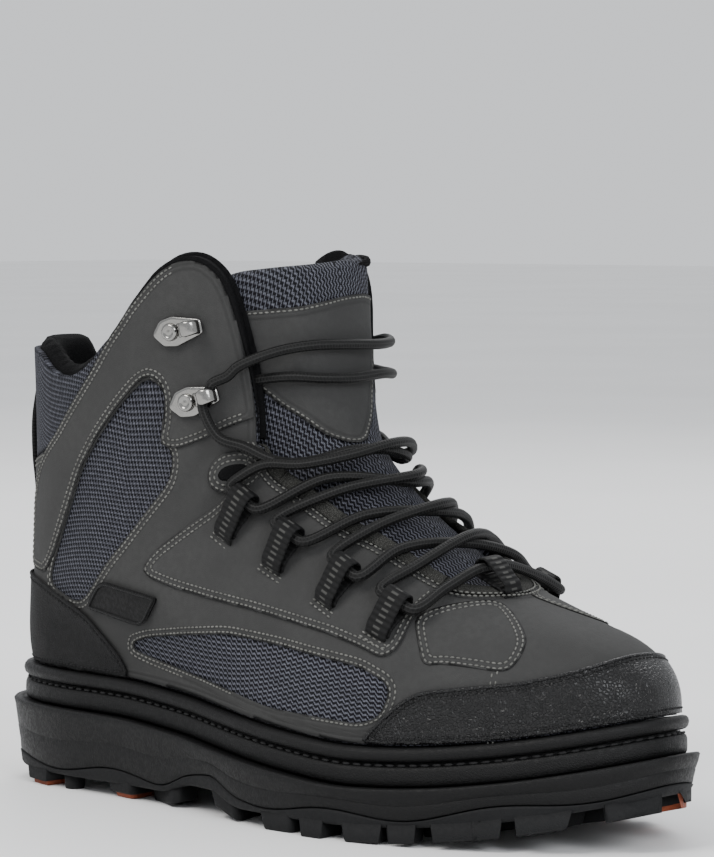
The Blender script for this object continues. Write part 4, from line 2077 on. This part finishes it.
# The curl's width along its run, shares of its widest
CURL_SHARES = ((0, 0.35, 0.8, 1), (1, 0.8, 0.95, 0.8))
PLATE_THICK = 1.4 * MM
PLATE_LIFT = 2.25
NECK = 3.5 * MM
RIVET_DIAMETER = 6.8 * MM
RIVET_AT = -0.2
# Share of the outline and height in millimetres of each step
PLATE_STEPS = [(0.97, 0), (1, 0.25), (1, 0.9), (0.95, 1.4), (0.8, 1.4)]
RIVET_STEPS = [
    (1, 1.3), (1, 2.1), (0.94, 2.6), (0.8, 2.95), (0.62, 3.0), (0.56, 2.7), (0.3, 2.65), (0.05, 2.8),
]
RIDGE_STEPS = [(1, 1.3), (0.86, 1.8), (0.6, 1.85)]


def hook_frame(where, flip):
    """Directions of a hook, its base and the middle of its curl."""
    step, swept = where
    base, normal = spot(step, swept, PLATE_LIFT, flip)
    ahead, _ = spot(step, swept + 6, 0, flip)
    here, _ = spot(step, swept, 0, flip)
    along = unit(ahead - here)
    across = unit(np.cross(normal, along))
    forward = unit(np.cross(across, normal))
    curl = CURL_AT * bpy.context.scene.lace_sizes.plate_length
    eye = base + forward * curl + normal * (PLATE_THICK + CURL_INNER)
    return {"base": base, "forward": forward, "across": across, "out": normal, "eye": eye}


def stacked(outline, steps):
    """A closed stack of one outline shrunk step by step: each step is a share and a height."""
    outline = np.asarray(outline, float)
    middle = outline.mean(0)
    rings = []
    for shrink, up in steps:
        flat = middle + (outline - middle) * shrink
        rings.append(np.column_stack([flat, np.full(len(flat), up * MM)]))
    return capped(rings)


def both_sides(half_outline):
    """A flat outline from its half, mirrored across the plate's middle."""
    return half_outline + [(x, -y) for x, y in reversed(half_outline)]


def hook_curl(long):
    """The open curl that holds the lace."""
    turn = np.radians(np.linspace(*CURL_TURNS, 26))
    middle = np.array([CURL_AT * long, 0, PLATE_THICK + CURL_INNER])
    out = np.stack([np.cos(turn), np.zeros(len(turn)), np.sin(turn)], 1)
    width = np.interp(np.linspace(0, 1, len(turn)), *CURL_SHARES)
    scale = np.stack([width, np.ones(len(width))], 1)[:, None]
    profile = flat_profile(CURL_WIDTH, CURL_THICK)[None] * scale
    made = sweep(middle + out * (CURL_INNER + CURL_THICK / 2), out, profile)
    return {"points": made["points"], "faces": made["faces"]}


def build_hooks():
    """Steel hooks: six-sided plate, domed rivet, low ridge and open curl."""
    spec = bpy.context.scene.lace_sizes
    long, half = spec.plate_length, spec.plate_width / 2
    outline = both_sides(
        [
            (-0.58 * long, -0.12 * half),
            (-0.4 * long, -0.84 * half),
            (-0.12 * long, -half),
            (0.46 * long, -0.8 * NECK),
        ]
    )
    plate = stacked(rounded(outline, 1.2 * MM), PLATE_STEPS)
    rivet = stacked(circle(28) * RIVET_DIAMETER + (RIVET_AT * long, 0), RIVET_STEPS)
    spine = both_sides([(-0.05 * long, -0.5 * half), (0.4 * long, -0.5 * NECK)])
    ridge = stacked(rounded(spine, 1 * MM), RIDGE_STEPS)
    whole = joined([plate, rivet, ridge, hook_curl(long)])
    for side in ("lateral", "medial"):
        for name, where in HOOKS.items():
            at = hook_frame(where, side == "medial")
            basis = np.stack([at["forward"], at["across"], at["out"]])
            made = {**whole, "points": whole["points"] @ basis + at["base"]}
            node = "speed_hook_%s_%s" % (side, name)
            place(node.replace("speed", "lace"), made, finish("steel"), [node], "metal")


# Lace

# How far the lace runs straight through a loop's and a hook's eye, shares of the webbing's width
EYE_RUN = 0.8
HOOK_RUN = 0.38
# How far it leans forwards in the lower hooks
HOOK_LEAN = 0.95
# Routes over the upper: step, sweep and lift in millimetres
SHOULDER_LIFT = 4.4
UNDER_LIFT = 2.6
OVER_LIFT = 6.2
FIRST_STEP = (2.2, 60, 4.4)
LACE_SIDES = 14
# Each crossing's loop, then its steps on leaving a loop, on the ridge and on arriving
LADDER = [("3", 3.0, 3.1, 3.6), ("2", 4.75, 4.4, 5.5), ("1", 7.2, 6.4, 8.1)]
CLIMB = [
    (11.0, 39, 5.4), (10.9, 46, 4.6), (9.6, 56, 3.6), (8.7, 70, 3), (8.8, 90, 2.6), (9.3, 106, 3),
    (9.6, 119, 3.6), (10.25, 127, 4), (11.2, 133, 4.8), (12.1, 140, 5.4), (12.9, 149, 5.4),
]
END_OVER_TONGUE = [
    (14.3, 35.5, 5.4), (14.45, 39, 5.2), (14.54, 44, 4.8), (14.64, 56, 2.6), (14.65, 70, 1.8),
    (14.6, 87, 1.8), (14.58, 102, 3.4), (14.7, 118, 4.6), (14.9, 134, 5.2), (15.0, 150, 5.2),
]
END_COMING_BACK = [
    (14.35, 149, 5.2), (14.15, 137, 5.2), (13.9, 120, 4.6), (13.8, 104, 3.4), (13.7, 87, 1.8),
    (13.8, 71, 1.4), (13.95, 60, 0.8), (14.02, 52, -0.6), (14.05, 46, -2.4), (14.06, 41, -3.6),
]


def on_upper(rows, flip=False):
    """Points of a route over the upper."""
    return [spot(step, angle, lift, flip)[0] for step, angle, lift in rows]


def eye_of(side, name):
    """The middle and the direction across of a loop's or a hook's eye."""
    flip = side == "medial"
    sign = -1 if flip else 1
    if name in HOOKS:
        at = hook_frame(HOOKS[name], flip)
        lean = HOOK_LEAN if name == "lower" else 0.0
        return at["eye"], unit(sign * at["across"] + lean * at["forward"]), HOOK_RUN
    at = loop_frame(*LOOPS[name], flip)
    return at["eye"], sign * at["across"], EYE_RUN


def through_eye(side, name):
    """Three points straight through an eye."""
    eye, way, reach = eye_of(side, name)
    run = reach * bpy.context.scene.lace_sizes.webbing_width
    return [eye + way * share * run for share in (-1, 0, 1)]


def strand(start):
    """Route of one half of the lace, from the centre loop to the other side's lower hook."""
    flip = start == "medial"
    opposite = {"lateral": "medial", "medial": "lateral"}
    centre = loop_frame(*CENTRE_LOOP, False)
    run = EYE_RUN * bpy.context.scene.lace_sizes.webbing_width
    points = [centre["eye"], centre["eye"] + centre["across"] * (-run if flip else run)]
    points += on_upper([FIRST_STEP], flip) + through_eye(start, "4")
    side = start
    for number, (to, leaving, ridge, arriving) in enumerate(LADDER):
        over = (number % 2 == 0) == (start == "lateral")
        rows = [
            (leaving, 60, SHOULDER_LIFT),
            (ridge, 90, OVER_LIFT if over else UNDER_LIFT),
            (arriving, 120, SHOULDER_LIFT),
        ]
        points += on_upper(rows, side == "medial")
        side = opposite[side]
        points += through_eye(side, to)
    shift = OVER_LIFT - UNDER_LIFT if flip else 0
    rows = [(s, a, up + shift * float(smooth(50, 30, abs(a - 90)))) for s, a, up in CLIMB]
    points += on_upper(rows, side == "medial")
    side = opposite[side]
    return points + through_eye(side, "lower")


def lace_tube(points):
    """A round cord along a route, and the line that it follows."""
    line = smooth_line(points, 1 * MM)
    radius = bpy.context.scene.lace_sizes.lace / 2
    return sweep(line, carried(line), round_profile(radius, LACE_SIDES)), line


def leave_hook(side):
    """Points where a free end leaves its lower hook."""
    eye, way, reach = eye_of(side, "lower")
    run = reach * bpy.context.scene.lace_sizes.webbing_width
    return [eye + way * (run + more) for more in (GAP, 2 * MM)]


def build_lace_ends():
    """The two free ends, each a cord that is tucked away within the lacing."""
    routes = {
        "lateral": leave_hook("lateral") + on_upper(END_OVER_TONGUE) + through_eye("medial", "upper"),
        "medial": leave_hook("medial") + on_upper(END_COMING_BACK),
    }
    for side, points in routes.items():
        tube, line = lace_tube(points)
        piece = place("lace_free_" + side, tube, finish("braided_lace"), ["lace_end_" + side], "lace")
        path = line + TO_FRAME
        long = float(run_along(path)[-1])
        tuple(path[0])


def build_crossings():
    """The laced part, both strands in one piece."""
    tubes = [lace_tube(strand(side))[0] for side in ("lateral", "medial")]
    place("lace_ladder", joined(tubes), finish("braided_lace"), ["lace_crossings"], "lace")


# Stage

CAMERA_AZIMUTH = 41.5
CAMERA_ELEVATION = 3.3
CAMERA_DISTANCE = 1.4
CAMERA_TARGET = (0.013, -0.0023, 0.145)
CAMERA_LENS = 156.4
FLOOR_REACH = 12.0
WORLD_COLOUR = (0.95, 0.97, 1.0, 1)
WORLD_STRENGTH = 0.95
# Place, size, power and tint of each light
LAMPS = {
    "Key light": ((-0.3, -1.6, 1.9), 1.0, 40, (1.0, 0.98, 0.95)),
    "Side light": ((1.9, -0.8, 1.2), 0.9, 30, (0.95, 0.97, 1.0)),
    "Back light": ((-0.8, 1.4, 1.6), 1.2, 18, (1.0, 1.0, 1.0)),
}


def lamp(name, where, size, power, tint):
    """A soft square light that looks at the boot."""
    data = bpy.data.lights.new(name, "AREA")
    data.size = size
    data.energy = power
    data.color = tint
    piece = bpy.data.objects.new(name, data)
    piece.location = where
    piece.rotation_euler = (Vector(CAMERA_TARGET) - Vector(where)).to_track_quat("-Z", "Y").to_euler()
    bpy.context.scene.collection.objects.link(piece)


def build_floor():
    """A wide pale floor."""
    material, tree, shader = start_material("studio_floor")
    mottle = use(tree, "mottle", cloud=2.0, speck=60.0).outputs
    tone = blended(tree, mottle["Cloud"], (0.86, 0.86, 0.86), (0.9, 0.9, 0.9))
    finish_material(tree, shader, tone, 0.7, [(mottle["Speck"], 0.05 * MM, 0.2)])
    data = bpy.data.meshes.new("studio_floor")
    spots = [(FLOOR_REACH * x, FLOOR_REACH * y, 0) for x, y in ((-1, -1), (1, -1), (1, 1), (-1, 1))]
    data.from_pydata(spots, [], [(0, 1, 2, 3)])
    data.materials.append(material)
    floor = bpy.data.objects.new("studio_floor", data)
    bpy.context.scene.collection.objects.link(floor)
    floor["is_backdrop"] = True


def build_stage():
    """Pale floor, soft light and the camera."""
    scene = bpy.context.scene
    build_floor()
    world = bpy.data.worlds.new("Studio")
    world.use_nodes = True
    sky = world.node_tree.nodes["Background"].inputs
    sky["Color"].default_value = WORLD_COLOUR
    sky["Strength"].default_value = WORLD_STRENGTH
    scene.world = world
    for name, settings in LAMPS.items():
        lamp(name, *settings)
    azimuth, elevation = math.radians(CAMERA_AZIMUTH), math.radians(CAMERA_ELEVATION)
    flat = math.cos(elevation)
    back = Vector((math.sin(azimuth) * flat, -math.cos(azimuth) * flat, math.sin(elevation)))
    lens = bpy.data.cameras.new("Camera")
    lens.lens = CAMERA_LENS
    camera = bpy.data.objects.new("Camera", lens)
    camera.location = Vector(CAMERA_TARGET) + back * CAMERA_DISTANCE
    camera.rotation_euler = (-back).to_track_quat("-Z", "Y").to_euler()
    scene.collection.objects.link(camera)
    scene.camera = camera


# Operators and panel


class StageOperator(bpy.types.Operator):
    """Make the floor, the lights and the camera."""

    bl_idname = "boot.stage"
    bl_label = "Stage"

    def execute(self, context):
        build_stage()
        return {"FINISHED"}


class LaceEndsOperator(bpy.types.Operator):
    """Make the two free ends of the lace."""

    bl_idname = "boot.lace_ends"
    bl_label = "Lace ends"

    def execute(self, context):
        build_lace_ends()
        return {"FINISHED"}


class CrossingsOperator(bpy.types.Operator):
    """Make the laced part."""

    bl_idname = "boot.crossings"
    bl_label = "Lacing"

    def execute(self, context):
        build_crossings()
        return {"FINISHED"}


class SoleOperator(bpy.types.Operator):
    """Make the sole, its lugs, the welt and the insole."""

    bl_idname = "boot.sole"
    bl_label = "Sole"

    def execute(self, context):
        build_sole()
        return {"FINISHED"}


class UpperOperator(bpy.types.Operator):
    """Make the upper's fabric."""

    bl_idname = "boot.upper"
    bl_label = "Upper fabric"

    def execute(self, context):
        build_upper()
        return {"FINISHED"}


class PanelsOperator(bpy.types.Operator):
    """Make the nubuck panels and their seams."""

    bl_idname = "boot.panels"
    bl_label = "Nubuck panels"

    def execute(self, context):
        build_panels()
        return {"FINISHED"}


class RandOperator(bpy.types.Operator):
    """Make toe rand, heel counter and badge."""

    bl_idname = "boot.rand"
    bl_label = "Rand, counter and badge"

    def execute(self, context):
        build_rand()
        build_badge()
        return {"FINISHED"}


class CollarOperator(bpy.types.Operator):
    """Make the padded collar."""

    bl_idname = "boot.collar"
    bl_label = "Collar"

    def execute(self, context):
        build_collar()
        return {"FINISHED"}


class BindingsOperator(bpy.types.Operator):
    """Make the bindings and tapes."""

    bl_idname = "boot.bindings"
    bl_label = "Bindings"

    def execute(self, context):
        build_bindings()
        return {"FINISHED"}


class TongueOperator(bpy.types.Operator):
    """Make the tongue."""

    bl_idname = "boot.tongue"
    bl_label = "Tongue"

    def execute(self, context):
        build_tongue()
        return {"FINISHED"}


class LoopsOperator(bpy.types.Operator):
    """Make the webbing loops."""

    bl_idname = "boot.loops"
    bl_label = "Webbing loops"

    def execute(self, context):
        build_loops()
        return {"FINISHED"}


class PullOperator(bpy.types.Operator):
    """Make the heel pull."""

    bl_idname = "boot.pull"
    bl_label = "Heel pull"

    def execute(self, context):
        build_pull()
        return {"FINISHED"}


class HooksOperator(bpy.types.Operator):
    """Make the steel hooks."""

    bl_idname = "boot.hooks"
    bl_label = "Hooks"

    def execute(self, context):
        build_hooks()
        return {"FINISHED"}


OPERATORS = (
    StageOperator,
    LaceEndsOperator,
    CrossingsOperator,
    SoleOperator,
    UpperOperator,
    PanelsOperator,
    RandOperator,
    CollarOperator,
    BindingsOperator,
    TongueOperator,
    LoopsOperator,
    PullOperator,
    HooksOperator,
)


class BootPanel(bpy.types.Panel):
    """Lists the boot's operators and its sizes."""

    bl_idname = "VIEW3D_PT_boot"
    bl_label = "Wading boot"
    bl_space_type = "VIEW_3D"
    bl_region_type = "UI"
    bl_category = "Boot"

    def draw(self, context):
        for operator in OPERATORS:
            self.layout.operator(operator.bl_idname)
        for name, group in PROPERTY_GROUPS:
            for key in group.__annotations__:
                self.layout.prop(getattr(context.scene, name), key)


def register():
    """Registers sizes, operators and panel."""
    for name, group in PROPERTY_GROUPS:
        bpy.utils.register_class(group)
        setattr(bpy.types.Scene, name, bpy.props.PointerProperty(type=group))
    for operator in OPERATORS:
        bpy.utils.register_class(operator)
    bpy.utils.register_class(BootPanel)


def unregister():
    """Takes them away again."""
    bpy.utils.unregister_class(BootPanel)
    for operator in reversed(OPERATORS):
        bpy.utils.unregister_class(operator)
    for name, group in reversed(PROPERTY_GROUPS):
        delattr(bpy.types.Scene, name)
        bpy.utils.unregister_class(group)


def corners(box):
    """A box as plain lists of numbers."""
    return [[float(value) for value in corner] for corner in box]


def main():
    """Builds every piece in order."""
    register()
    for operator in OPERATORS:
        group, name = operator.bl_idname.split(".")
        getattr(getattr(bpy.ops, group), name)()
    {"cad": corners(cad_box), "visual": corners(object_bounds())}


if __name__ == "__main__":
    main()
